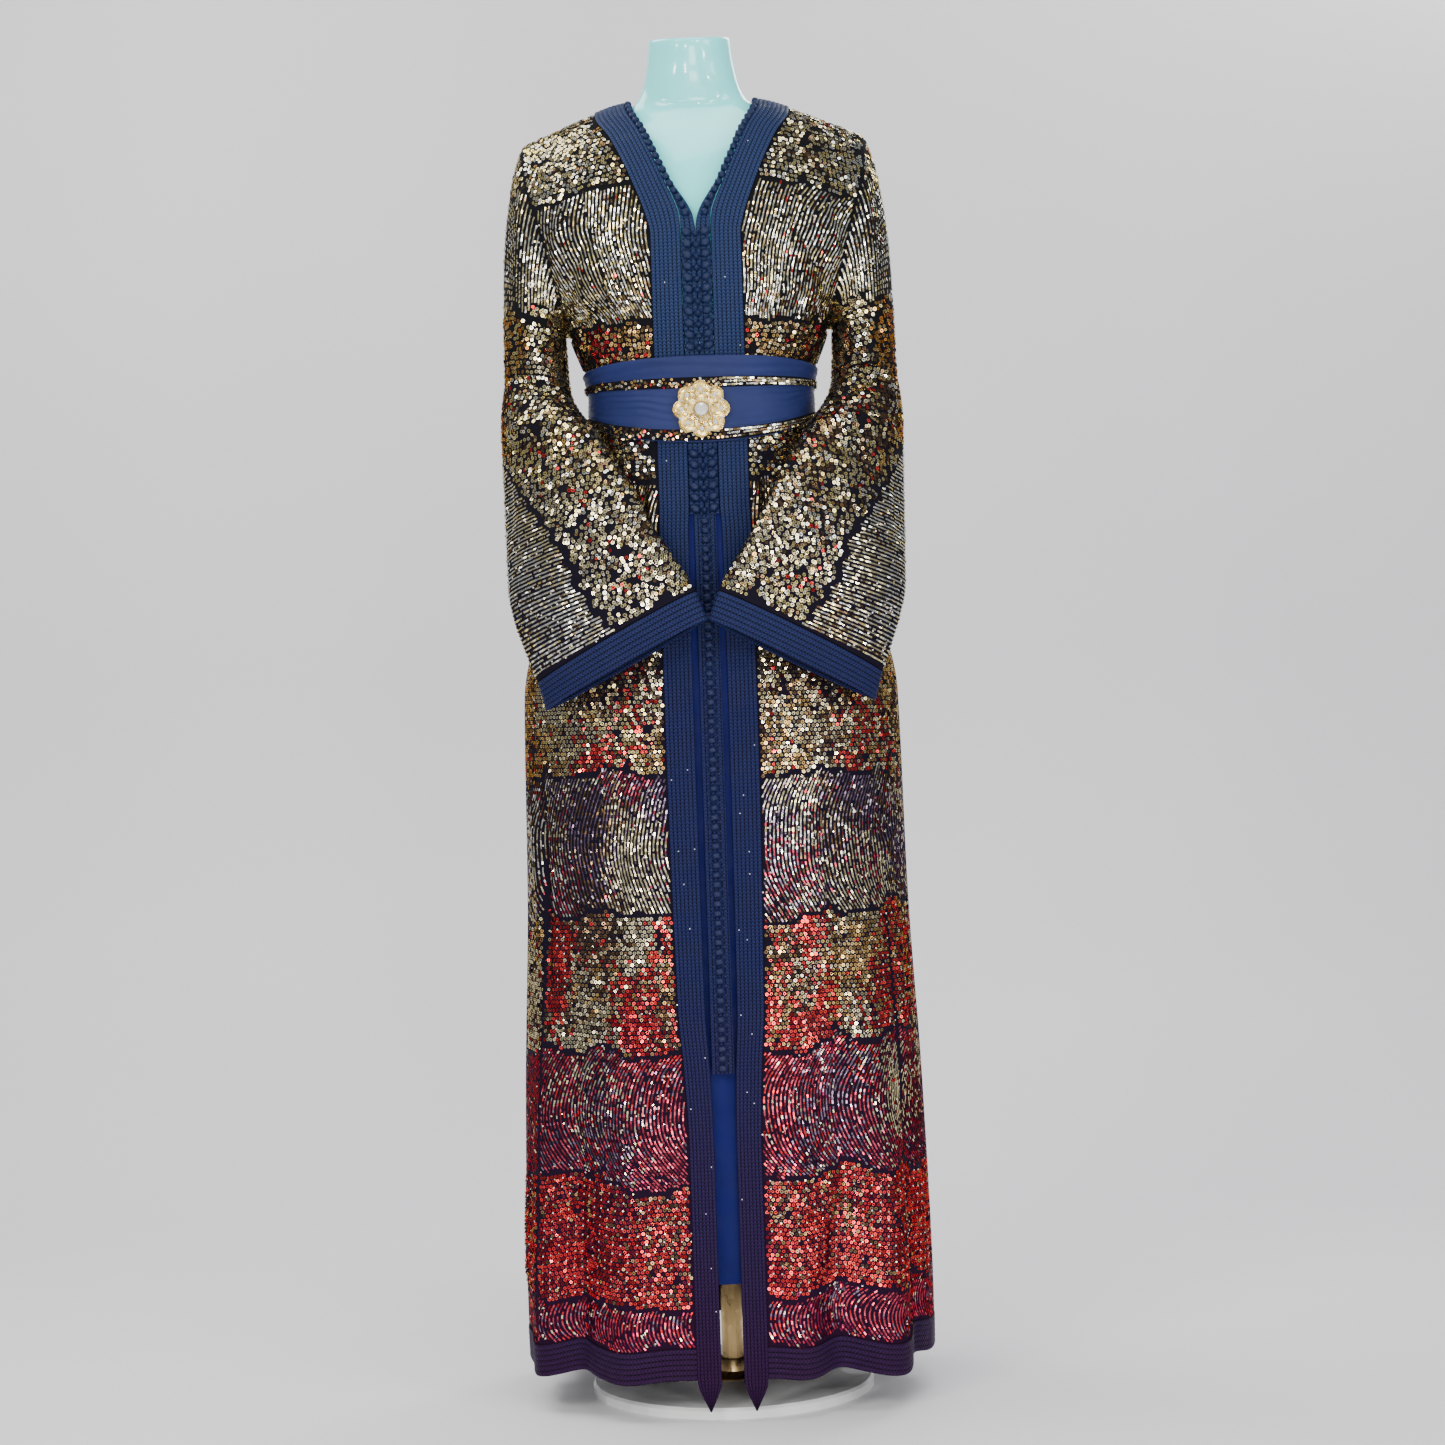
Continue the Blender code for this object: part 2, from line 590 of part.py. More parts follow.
def knot_band(name, levels, inner_edge, outer_edge, side, crest, material):
    """A narrow band with a row of raised knots, one crest for each knot."""
    middle = (inner_edge + outer_edge) / 2
    widths = np.stack([inner_edge, middle, outer_edge], axis=1)
    rows = levels[:, None] + 0.0 * widths
    angles = side * np.sign(widths) * angle_at(np.abs(widths), rows)
    points, normals = body_surface(angles, rows), body_normal(angles, rows)
    height = np.full(widths.shape, KNOT_BASE)
    height[:, 1] += KNOT_HEIGHT * crest
    points = points - normals * KNOT_BASE / 2
    wall(name, points + normals * height[:, :, None], points, material)


def knot_rows(low, high, pitch):
    """Levels of the feet and crests of a row of knots, with 1 at each crest."""
    count = max(1, round((high - low) / pitch))
    levels = np.linspace(low, high, 2 * count + 1)
    crest = np.zeros(2 * count + 1)
    crest[1::2] = 1.0
    return levels, crest


def knots(material):
    """Knots down the neck edges and the front, and the single strip below them."""
    low_double, double = knot_rows(STRIP_TOP + SEAM, BELT_LOW_FRONT - BELT_CLEARANCE,
                                   DOUBLE_KNOT_PITCH)
    high_double, double_high = knot_rows(BELT_HIGH_FRONT + BELT_CLEARANCE, NECK_KNOTS_START,
                                         DOUBLE_KNOT_PITCH)
    neck, neck_crest = knot_rows(NECK_KNOTS_START, SHOULDER_LEVEL - 2 * SEAM, NECK_KNOT_PITCH)
    under_belt = np.linspace(low_double[-1], high_double[0], 6)[1:-1]
    levels = np.concatenate([low_double, under_belt, high_double, neck[1:]])
    crest = np.concatenate([double, 0.0 * under_belt, double_high, neck_crest[1:]])
    inner = smooth(FRONT_EDGES, "knot_edge", levels)
    panel = panel_levels()
    outer = np.interp(levels, panel, smooth(FRONT_EDGES, "panel_edge", panel)) - KNOT_GAP
    for name, side in (("knots_left", 1.0), ("knots_right", -1.0)):
        knot_band(name, levels, inner, outer, side, crest, material)
    strip, strip_crest = knot_rows(SLIT_TOP, STRIP_TOP, STRIP_KNOT_PITCH)
    edge = np.full(strip.shape, STRIP_HALF_WIDTH)
    knot_band("knot_strip", strip, -edge, edge, 1.0, strip_crest, material)


def sleeves(cloth, braid):
    """Both sleeves and the braid cuffs at their ends."""
    columns = 2 * ARMHOLE_ROWS
    points, normals = sleeve_grid(SLEEVE_ROWS, columns)
    for_both_sides("sleeve", points, points - normals * CLOTH, cloth, around=True)
    points, normals = sleeve_grid((CUFF_STATION + CUFF_GAP, EDGE_STATION), columns)
    for_both_sides("cuff", points, points - normals * CUFF_WALL, braid, around=True)


def lining(material):
    """The blue inner skirt that shows beside the strip of knots and in the slit."""
    levels = np.array(LINING_LEVELS)[:, None]
    angles = np.arange(LINING_COLUMNS) * 2 * pi / LINING_COLUMNS + 0.0 * levels
    inset = smooth(LINING_INSET, "inset", levels)[..., None]
    points = body_surface(angles, levels, LINING_FOLD_SHARE)
    normals = body_normal(angles, levels, 0.0)
    outer = points - normals * inset
    wall("lining", outer, outer - normals * LINING_CLOTH, material, around=True)


def belt_band(name, low, high, rows, lift, thickness, material):
    """A band round the waist between two shares of the belt's height."""
    angles = np.arange(BELT_COLUMNS) * 2 * pi / BELT_COLUMNS
    shares = np.linspace(low, high, rows)[:, None]
    levels = belt_level(angles[None, :], shares)
    turn = angles[None, :] + 0.0 * levels
    points, normals = body_surface(turn, levels), body_normal(turn, levels)
    wall(name, points + normals * (lift + thickness), points + normals * lift, material, around=True)


def belt(satin, sequins):
    """The satin belt and the two sequined strips on it."""
    belt_band("belt", 0.0, 1.0, BELT_ROWS, BELT_LIFT, BELT_WALL, satin)
    lift = BELT_LIFT + BELT_WALL + TRIM_GAP
    for name, (low, high) in (("belt_sequin_lower", BELT_LOWER_TRIM),
                              ("belt_sequin_upper", BELT_UPPER_TRIM)):
        belt_band(name, low, high, 2, lift, BELT_TRIM_WALL, sequins)


def buckle(gold, glass):
    """The petalled buckle with its domed stone, bent to the front of the belt."""
    def front_point(x, height, lift):
        angles = np.sign(x) * angle_at(np.abs(x), height)
        return body_surface(angles, height) + body_normal(angles, height) * lift

    turn = np.arange(BUCKLE_PETALS * 4) * 2 * pi / (BUCKLE_PETALS * 4)
    petal = np.abs(np.cos(turn * BUCKLE_PETALS / 2))
    outline = BUCKLE_RADIUS - BUCKLE_PETAL_DEPTH * (1 - petal)
    base = BELT_LIFT + BELT_WALL + TRIM_GAP + BELT_TRIM_WALL + 2 * SEAM
    hole = STONE_RADIUS + SEAM
    shares, relief = (np.array(column)[:, None] for column in zip(*BUCKLE_ROWS))
    radius = hole + (outline - hole) * shares
    x, height = radius * np.sin(turn), BUCKLE_LEVEL + radius * np.cos(turn)
    front = front_point(x, height, 0.0) + lift_vectors(base + BUCKLE_WALL + relief, x)
    back = front_point(x, height, 0.0) + lift_vectors(base + 0.0 * relief, x)
    wall("buckle", front, back, gold, around=True)
    dome = np.array(STONE_ROWS)[:, None] * pi / 2
    ring = np.arange(ROUND_SIDES) * 2 * pi / ROUND_SIDES
    radius = STONE_RADIUS * np.maximum(np.cos(dome), STONE_TABLE)
    rise = STONE_HEIGHT * np.sin(dome)
    x, height = radius * np.sin(ring), BUCKLE_LEVEL + radius * np.cos(ring)
    level = np.full(x.shape, BUCKLE_LEVEL)
    outer = front_point(0.0 * x, level, 0.0)
    outer = np.stack([x, outer[..., 1] - base - rise, outer[..., 2] + height - level], axis=-1)
    lathe("buckle_stone", outer, glass)


def lift_vectors(amount, x):
    """Straight forward offsets for the buckle's plate."""
    amount = np.broadcast_to(amount, x.shape)
    return np.stack([0.0 * x, -amount, 0.0 * x], axis=-1)


def lathe(name, rings, material):
    """Close a stack of rings with a flat face at each end."""
    mesh = bmesh.new()
    loops = [[mesh.verts.new(point) for point in ring] for ring in rings]
    for low, high in zip(loops, loops[1:]):
        for i in range(len(low)):
            after = (i + 1) % len(low)
            mesh.faces.new((low[i], low[after], high[after], high[i]))
    mesh.faces.new(loops[0])
    mesh.faces.new(loops[-1])
    return add_mesh(name, mesh, material)


def form(shell, brass, painted):
    """The limbless dress form: torso with its neck, pole and round base plate."""
    heights = np.array([ring.height for ring in FORM_RINGS])[:, None]
    turn = (np.arange(FORM_COLUMNS) * 2 * pi / FORM_COLUMNS)[None, :]
    power = 2 / smooth(FORM_RINGS, "roundness", heights)
    sine, cosine = np.sin(turn), np.cos(turn)
    depth = np.where(cosine > 0, smooth(FORM_RINGS, "front", heights),
                     smooth(FORM_RINGS, "back", heights))
    x = smooth(FORM_RINGS, "half_width", heights) * np.sign(sine) * np.abs(sine) ** power
    y = smooth(FORM_RINGS, "centre_y", heights) - depth * np.sign(cosine) * np.abs(cosine) ** power
    tilt = smooth_step((heights - FORM_TILT_START) / (FORM_RINGS[-1].height - FORM_TILT_START))
    z = heights + FORM_TOP_TILT * tilt * y
    lathe("form_torso", np.stack([x, y, z + 0.0 * x], axis=-1), shell)
    lathe("form_pole", circles(POLE_RADIUS, (BASE_HEIGHT + SEAM, POLE_TOP), ROUND_SIDES), brass)
    edge = circles(BASE_RADIUS, (0.0, BASE_HEIGHT - BASE_EDGE), BASE_SIDES)
    rim = circles(BASE_RADIUS - BASE_EDGE, (BASE_HEIGHT,), BASE_SIDES)
    lathe("form_base", np.concatenate([edge, rim]), painted)


def circles(radius, heights, count):
    """Round rings about the pole's axis."""
    turn = np.arange(count) * 2 * pi / count
    return np.array([[(radius * cos(a), radius * sin(a), height) for a in turn]
                     for height in heights])


def finish(name, colour, roughness, metallic=0.0):
    """A plain material."""
    material = bpy.data.materials.new(name)
    material.use_nodes = True
    shader = material.node_tree.nodes["Principled BSDF"]
    shader.inputs["Base Color"].default_value = (*colour, 1.0)
    shader.inputs["Roughness"].default_value = roughness
    shader.inputs["Metallic"].default_value = metallic
    material.diffuse_color = (*colour, 1.0)
    return material


def main():
    """Clear the scene and build every piece."""
    for piece in list(bpy.data.objects):
        bpy.data.objects.remove(piece, do_unlink=True)
    sequined = finish("sequined_cloth", (0.42, 0.34, 0.20), 0.35, 0.4)
    braid = finish("navy_braid", (0.016, 0.030, 0.105), 0.55)
    blue = finish("royal_blue_cloth", (0.020, 0.060, 0.260), 0.45)
    gold = finish("gold_metal", (0.80, 0.58, 0.22), 0.25, 1.0)
    glass = finish("clear_stone", (0.90, 0.93, 0.95), 0.05)
    shell = finish("pale_gloss_shell", (0.78, 0.84, 0.82), 0.20)
    brass = finish("brass_pole", (0.62, 0.44, 0.20), 0.30, 1.0)
    painted = finish("white_painted_metal", (0.75, 0.76, 0.76), 0.40)
    front_panels(sequined)
    back_panel(sequined)
    sleeves(sequined, braid)
    front_braids(braid)
    back_neck_braid(braid)
    hem_braids(braid)
    knots(braid)
    lining(blue)
    belt(blue, sequined)
    buckle(gold, glass)
    form(shell, brass, painted)


main()
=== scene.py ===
"""Moroccan kaftan on a dress form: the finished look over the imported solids.

Metres, +Z up. The origin is the centre of the base plate's underside, the kaftan faces -Y
and the wearer's left side is +X.

The body's cloth lies on one surface, KaftanBody.surface(angle, level), and each sleeve on
another, Sleeve.surface(station, turn). Cloth, braid, knots, belt and sequins are all placed
on those surfaces, so that every piece follows the same folds and creases.
"""
from __future__ import annotations

import logging
from dataclasses import dataclass, field, replace
from enum import Enum, IntEnum
from math import pi, radians
from typing import Callable, NamedTuple, Sequence

import bpy
import numpy as np
from mathutils import Matrix, Vector

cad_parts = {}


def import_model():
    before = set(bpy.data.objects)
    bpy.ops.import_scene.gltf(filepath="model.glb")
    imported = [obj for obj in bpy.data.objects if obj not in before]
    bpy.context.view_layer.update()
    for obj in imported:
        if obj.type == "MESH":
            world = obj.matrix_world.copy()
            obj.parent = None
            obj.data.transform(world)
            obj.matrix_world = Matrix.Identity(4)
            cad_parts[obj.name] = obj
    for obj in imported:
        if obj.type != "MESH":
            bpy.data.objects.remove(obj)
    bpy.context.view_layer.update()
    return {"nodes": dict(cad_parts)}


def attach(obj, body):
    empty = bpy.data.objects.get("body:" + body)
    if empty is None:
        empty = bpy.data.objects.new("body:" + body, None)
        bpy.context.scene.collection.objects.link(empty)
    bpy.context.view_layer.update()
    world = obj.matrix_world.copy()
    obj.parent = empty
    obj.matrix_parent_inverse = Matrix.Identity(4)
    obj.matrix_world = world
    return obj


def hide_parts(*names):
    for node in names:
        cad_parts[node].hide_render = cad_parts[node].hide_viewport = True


log = logging.getLogger("kaftan")
Array = np.ndarray
Colour = tuple[float, float, float]
Material = bpy.types.Material
Piece = bpy.types.Object
Socket = bpy.types.NodeSocket
Value = Socket | float | tuple[float, ...]
Surface = tuple[Array, Array]
Limits = Callable[[float], tuple[float, float]]
Mask = Callable[[Array, Array], Array]
Edge = Callable[[Array], Array]
UV_NAME = "cloth"
SEAM = 0.0003
STEP = 1e-4
CORD_DEPTH = 0.0006
SIDES = (("left", 1.0), ("right", -1.0))


class Fold(NamedTuple):
    """A hanging fold of the skirt: angle and width in degrees, size at the hem, upper end."""

    angle: float
    width: float
    size: float
    top: float


class Crease(NamedTuple):
    """A soft ridge, or a trough if its height is negative, between two places on the cloth."""

    turn_from: float
    along_from: float
    turn_to: float
    along_to: float
    width: float
    height: float


class Table:
    """Measures at rising places, read on a smooth curve through them.

    Args:
        columns: names of the columns after the first, which holds the places.
        rows: the numbers, a row for each place.
    """

    def __init__(self, columns: str, rows: Sequence[tuple[float, ...]]) -> None:
        self.places, *values = np.array(rows).T
        self.columns = dict(zip(columns.split(), values))

    def read(self, column: str, at: Array | float) -> Array:
        """Read one column.

        Args:
            column: the column's name.
            at: where to read it.

        Returns:
            The values, in the shape of ``at``.
        """
        keys, values = self.places, self.columns[column]
        steps = np.diff(keys)
        slopes = np.diff(values) / steps
        tangents = np.empty(len(keys))
        tangents[0], tangents[-1] = slopes[0], slopes[-1]
        before, after = slopes[:-1], slopes[1:]
        same_way = before * after > 0
        safe_before, safe_after = (np.where(same_way, part, 1.0) for part in (before, after))
        tangents[1:-1] = np.where(same_way, 2 / (1 / safe_before + 1 / safe_after), 0.0)
        at = np.clip(at, keys[0], keys[-1])
        index = np.clip(np.searchsorted(keys, at, side="right") - 1, 0, len(keys) - 2)
        step = steps[index]
        t = (at - keys[index]) / step
        rest = 1 - t
        return (values[index] * (1 + 2 * t) * rest ** 2 + tangents[index] * step * t * rest ** 2
                + values[index + 1] * t * t * (3 - 2 * t) - tangents[index + 1] * step * t * t * rest)


# Cross-sections of the body by level
BODY_RINGS = Table("half_width front_depth back_depth", (
    (0.000, 0.234, 0.178, 0.190), (0.110, 0.236, 0.174, 0.186), (0.345, 0.231, 0.160, 0.174),
    (0.580, 0.221, 0.147, 0.160), (0.810, 0.217, 0.135, 0.147), (0.880, 0.204, 0.129, 0.141),
    (0.960, 0.169, 0.120, 0.131), (1.040, 0.142, 0.108, 0.114), (1.110, 0.129, 0.098, 0.098),
    (1.160, 0.127, 0.099, 0.092), (1.235, 0.150, 0.114, 0.101), (1.300, 0.165, 0.116, 0.108),
))
# The armhole's edge by level, its angle in degrees from centre front
ARMHOLE = Table("half_width angle", (
    (1.235, 0.150, 90.0), (1.270, 0.160, 66.0), (1.330, 0.172, 56.0), (1.400, 0.186, 54.0),
    (1.450, 0.196, 56.0), (1.508, 0.200, 60.0),
))
# Half-widths of the front edges by level
FRONT_EDGES = Table("panel_edge braid_edge knot_edge", (
    (0.012, 0.0245, 0.0262, 0.0002), (0.047, 0.0125, 0.0395, 0.0002), (0.300, 0.0125, 0.0400, 0.0002),
    (0.385, 0.0145, 0.0430, 0.0002), (0.460, 0.0180, 0.0480, 0.0002), (0.800, 0.0195, 0.0520, 0.0002),
    (0.990, 0.0190, 0.0520, 0.0002), (1.030, 0.0172, 0.0510, 0.0002), (1.335, 0.0172, 0.0510, 0.0002),
    (1.352, 0.0180, 0.0545, 0.0020), (1.400, 0.0350, 0.0710, 0.0275), (1.460, 0.0605, 0.0955, 0.0530),
    (1.497, 0.0772, 0.1122, 0.0697), (1.508, 0.0780, 0.1130, 0.0705),
))
# Inner and outer edge of the sleeve and half its depth by station
SLEEVE_RINGS = Table("inner_x inner_y inner_z outer_x outer_y outer_z half_depth", (
    (1.0, 0.1565, -0.006, 1.237, 0.2280, -0.006, 1.270, 0.058),
    (2.0, 0.1530, -0.014, 1.172, 0.2290, -0.010, 1.180, 0.056),
    (3.0, 0.1230, -0.098, 1.115, 0.2280, -0.022, 1.100, 0.040),
    (4.0, 0.0880, -0.134, 1.060, 0.2275, -0.052, 1.020, 0.035),
    (5.0, 0.0530, -0.164, 0.990, 0.2250, -0.094, 0.930, 0.029),
    (6.0, 0.0130, -0.182, 0.925, 0.1950, -0.117, 0.830, 0.022),
    (7.0, 0.0012, -0.186, 0.893, 0.1860, -0.121, 0.798, 0.019),
))
# How far the lining lies inside the body's surface, by level
LINING_INSET = Table("inset", (
    (0.150, 0.0150), (0.500, 0.0100), (0.800, 0.0060), (1.000, 0.0038), (1.170, 0.0034),
))
# Cross-sections of the dress form by height
FORM_RINGS = Table("half_width front back centre_y roundness", (
    (0.780, 0.150, 0.088, 0.100, 0.004, 2.2), (0.870, 0.168, 0.106, 0.118, 0.004, 2.2),
    (0.940, 0.150, 0.103, 0.112, 0.002, 2.2), (1.020, 0.128, 0.092, 0.098, 0.000, 2.2),
    (1.130, 0.114, 0.084, 0.080, 0.000, 2.2), (1.240, 0.138, 0.102, 0.090, 0.000, 2.2),
    (1.310, 0.152, 0.105, 0.100, 0.000, 2.2), (1.370, 0.160, 0.094, 0.100, 0.000, 2.1),
    (1.410, 0.166, 0.082, 0.097, 0.000, 2.0), (1.440, 0.166, 0.071, 0.089, 0.000, 2.0),
    (1.458, 0.160, 0.063, 0.081, 0.000, 2.0), (1.472, 0.142, 0.055, 0.071, 0.000, 1.9),
    (1.485, 0.112, 0.046, 0.058, 0.000, 1.9), (1.497, 0.080, 0.041, 0.047, 0.000, 2.0),
    (1.510, 0.063, 0.044, 0.044, -0.003, 2.0), (1.530, 0.055, 0.048, 0.046, -0.007, 2.0),
    (1.560, 0.050, 0.048, 0.047, -0.013, 2.0), (1.582, 0.048, 0.047, 0.047, -0.018, 2.0),
))
FOLDS = [Fold(*row) for row in (
    (17.0, 6.0, 0.007, 0.62), (29.0, 6.5, -0.010, 0.60), (46.0, 10.0, 0.020, 0.66),
    (63.0, 7.0, -0.008, 0.52), (108.0, 9.0, -0.010, 0.60), (125.0, 9.0, 0.017, 0.70),
    (143.0, 8.0, -0.011, 0.64), (161.0, 9.0, 0.018, 0.74), (180.0, 8.0, -0.010, 0.68),
    (198.0, 9.0, 0.016, 0.72), (215.0, 8.0, -0.012, 0.62), (234.0, 9.0, 0.018, 0.70),
    (252.0, 8.0, -0.009, 0.58), (299.0, 8.0, 0.013, 0.66), (315.0, 6.5, -0.011, 0.76),
    (334.0, 8.0, 0.010, 0.64),
)]
# Creases of the body, angles in degrees. Under and over the belt they only stand out,
# because the lining and the form are close behind the cloth there.
BODY_CREASES = [Crease(*row) for row in (
    (23, 1.090, 20, 0.955, 0.0060, 0.0030), (38, 1.094, 35, 0.925, 0.0070, 0.0040),
    (53, 1.100, 56, 0.965, 0.0060, 0.0028), (71, 1.110, 69, 0.915, 0.0080, 0.0042),
    (94, 1.114, 97, 0.950, 0.0070, 0.0030), (118, 1.110, 115, 0.900, 0.0080, 0.0040),
    (136, 1.110, 139, 0.955, 0.0060, 0.0030), (155, 1.110, 152, 0.915, 0.0070, 0.0040),
    (173, 1.110, 175, 0.965, 0.0060, 0.0028), (192, 1.110, 189, 0.905, 0.0080, 0.0040),
    (211, 1.110, 214, 0.950, 0.0060, 0.0032), (229, 1.110, 226, 0.930, 0.0070, 0.0036),
    (251, 1.110, 254, 0.960, 0.0060, 0.0030), (269, 1.114, 266, 0.920, 0.0080, 0.0040),
    (290, 1.108, 292, 0.955, 0.0060, 0.0032), (305, 1.100, 301, 0.915, 0.0080, 0.0042),
    (321, 1.094, 322, 0.965, 0.0060, 0.0028), (337, 1.090, 341, 0.940, 0.0060, 0.0034),
    (29, 1.202, 33, 1.292, 0.0060, 0.0028), (44, 1.199, 50, 1.280, 0.0050, 0.0022),
    (62, 1.194, 70, 1.262, 0.0060, 0.0030), (120, 1.194, 113, 1.285, 0.0060, 0.0030),
    (150, 1.194, 146, 1.300, 0.0070, 0.0030), (176, 1.194, 179, 1.275, 0.0060, 0.0024),
    (204, 1.194, 211, 1.300, 0.0070, 0.0032), (240, 1.194, 247, 1.280, 0.0060, 0.0028),
    (297, 1.194, 290, 1.258, 0.0060, 0.0032), (318, 1.199, 312, 1.285, 0.0050, 0.0024),
    (332, 1.202, 327, 1.296, 0.0060, 0.0028), (58, 1.262, 27, 1.352, 0.0090, -0.0030),
    (56, 1.300, 34, 1.400, 0.0080, 0.0026), (303, 1.266, 331, 1.350, 0.0090, -0.0028),
    (305, 1.306, 322, 1.396, 0.0080, 0.0028), (128, 1.290, 150, 1.395, 0.0100, -0.0034),
    (228, 1.300, 207, 1.400, 0.0100, -0.0032), (84, 0.800, 44, 0.735, 0.0130, -0.0034),
    (80, 0.690, 52, 0.610, 0.0120, 0.0036), (276, 0.790, 312, 0.730, 0.0130, -0.0032),
    (288, 0.720, 299, 0.480, 0.0090, 0.0050), (297, 0.745, 303, 0.420, 0.0065, -0.0044),
    (66, 0.560, 60, 0.330, 0.0100, 0.0050), (24, 0.700, 31, 0.470, 0.0100, 0.0034),
    (336, 0.700, 329, 0.500, 0.0100, -0.0030), (97, 0.830, 133, 0.760, 0.0140, -0.0036),
    (262, 0.820, 226, 0.770, 0.0140, -0.0034), (112, 0.640, 128, 0.520, 0.0120, 0.0040),
    (246, 0.650, 232, 0.510, 0.0120, 0.0042), (30, 0.300, 20, 0.140, 0.0090, 0.0036),
    (333, 0.330, 342, 0.150, 0.0090, 0.0034), (74, 0.330, 82, 0.120, 0.0100, -0.0040),
    (284, 0.300, 277, 0.110, 0.0100, 0.0040),
)]
BODY_CREASE_RADIUS = 0.17
# Creases of each sleeve: turn in degrees and station
LEFT_SLEEVE_CREASES = [Crease(*row) for row in (
    (18, 2.75, 128, 2.35, 0.0075, -0.0050), (14, 2.95, 140, 3.15, 0.0080, 0.0046),
    (24, 3.30, 120, 3.85, 0.0080, -0.0040), (60, 1.15, 96, 2.10, 0.0090, 0.0040),
    (110, 1.10, 142, 2.45, 0.0090, -0.0042), (70, 3.80, 118, 4.90, 0.0090, 0.0036),
    (128, 3.60, 150, 4.70, 0.0080, -0.0034), (60, 4.80, 96, 5.80, 0.0080, -0.0026),
    (214, 1.20, 246, 2.40, 0.0100, 0.0044), (330, 2.70, 226, 2.30, 0.0090, -0.0046),
    (300, 3.40, 232, 4.40, 0.0100, 0.0040), (210, 4.40, 250, 5.60, 0.0090, -0.0030),
)]
RIGHT_SLEEVE_CREASES = [Crease(*row) for row in (
    (16, 2.65, 120, 2.25, 0.0080, -0.0046), (16, 2.88, 134, 3.00, 0.0075, 0.0050),
    (22, 3.20, 126, 3.65, 0.0080, -0.0038), (64, 1.20, 88, 2.00, 0.0080, 0.0036),
    (118, 1.15, 136, 2.35, 0.0100, -0.0044), (64, 3.95, 112, 5.10, 0.0090, 0.0038),
    (132, 3.45, 146, 4.50, 0.0080, -0.0036), (72, 4.70, 104, 5.70, 0.0080, -0.0024),
    (208, 1.30, 252, 2.50, 0.0100, 0.0040), (324, 2.60, 230, 2.40, 0.0090, -0.0044),
    (292, 3.30, 238, 4.30, 0.0100, 0.0042), (216, 4.30, 244, 5.70, 0.0090, -0.0030),
)]
SLEEVE_CREASE_RADIUS = 0.052
SLEEVE_STATION_LENGTH = 0.075


def run_along(points: Array) -> Array:
    """Distance from the first point along a line of points."""
    return np.concatenate([[0.0], np.cumsum(np.linalg.norm(np.diff(points, axis=0), axis=1))])


def full_turn(count: int) -> Array:
    """Evenly spaced angles once round."""
    return np.arange(count) * 2 * pi / count


def wrapped(angle: Array) -> Array:
    """Bring angles into half a turn to either side."""
    return (angle + pi) % (2 * pi) - pi


def smooth_step(value: Array | float) -> Array:
    """Rise from 0 to 1 with level ends."""
    value = np.clip(value, 0.0, 1.0)
    return value * value * (3 - 2 * value)


def unit(vectors: Array) -> Array:
    """Scale vectors to length 1."""
    return vectors / np.maximum(np.linalg.norm(vectors, axis=-1, keepdims=True), 1e-12)


def cord_ridges(share: Array, cords: int, depth: float = CORD_DEPTH) -> Array:
    """Height of the plaited cords at shares of a braid's width."""
    return depth * np.abs(np.sin(pi * share * cords)) ** 0.7


def crease_height(creases: Sequence[Crease], turn: Array, along: Array,
                  radius: float, length: float) -> Array:
    """Sum the creases at places on the cloth.

    Args:
        creases: the creases, with their turns in degrees.
        turn: angles of the places, in radians.
        along: levels or stations of the places.
        radius: metres for each radian of turn.
        length: metres for each unit of ``along``.

    Returns:
        How far the cloth stands out at each place.
    """
    total = np.zeros(np.broadcast(turn, along).shape)
    for crease in creases:
        off_x = radius * wrapped(turn - radians(crease.turn_from))
        off_y = length * (along - crease.along_from)
        run_x = radius * radians(crease.turn_to - crease.turn_from)
        run_y = length * (crease.along_to - crease.along_from)
        share = np.clip((off_x * run_x + off_y * run_y) / (run_x ** 2 + run_y ** 2), 0.0, 1.0)
        distance = np.hypot(off_x - share * run_x, off_y - share * run_y)
        taper = smooth_step(np.minimum(share, 1 - share) / 0.28)
        total = total + crease.height * taper * np.exp(-(distance / crease.width) ** 2)
    return total


class SmoothNoise:
    """Seeded noise from 0 to 1 that varies smoothly with position.

    Args:
        seed: number that fixes the noise.
        size: metres over which it varies.
    """

    CELLS = 32
    TURN = np.array([[0.80, 0.36, -0.48], [-0.60, 0.48, -0.64], [0.0, 0.80, 0.60]])

    def __init__(self, seed: int, size: float) -> None:
        self.values = np.random.default_rng(seed).random((self.CELLS,) * 3)
        self.size = size

    def at(self, points: Array) -> Array:
        """Read the noise.

        Args:
            points: where to read it, shape (..., 3).

        Returns:
            The noise at each point.
        """
        spot = points @ self.TURN / self.size
        whole = np.floor(spot).astype(int)
        part = smooth_step(spot - whole)
        total = np.zeros(points.shape[:-1])
        for corner in np.ndindex(2, 2, 2):
            index = (whole + np.array(corner)) % self.CELLS
            weight = np.prod(np.where(np.array(corner, bool), part, 1 - part), axis=-1)
            total += weight * self.values[index[..., 0], index[..., 1], index[..., 2]]
        return total


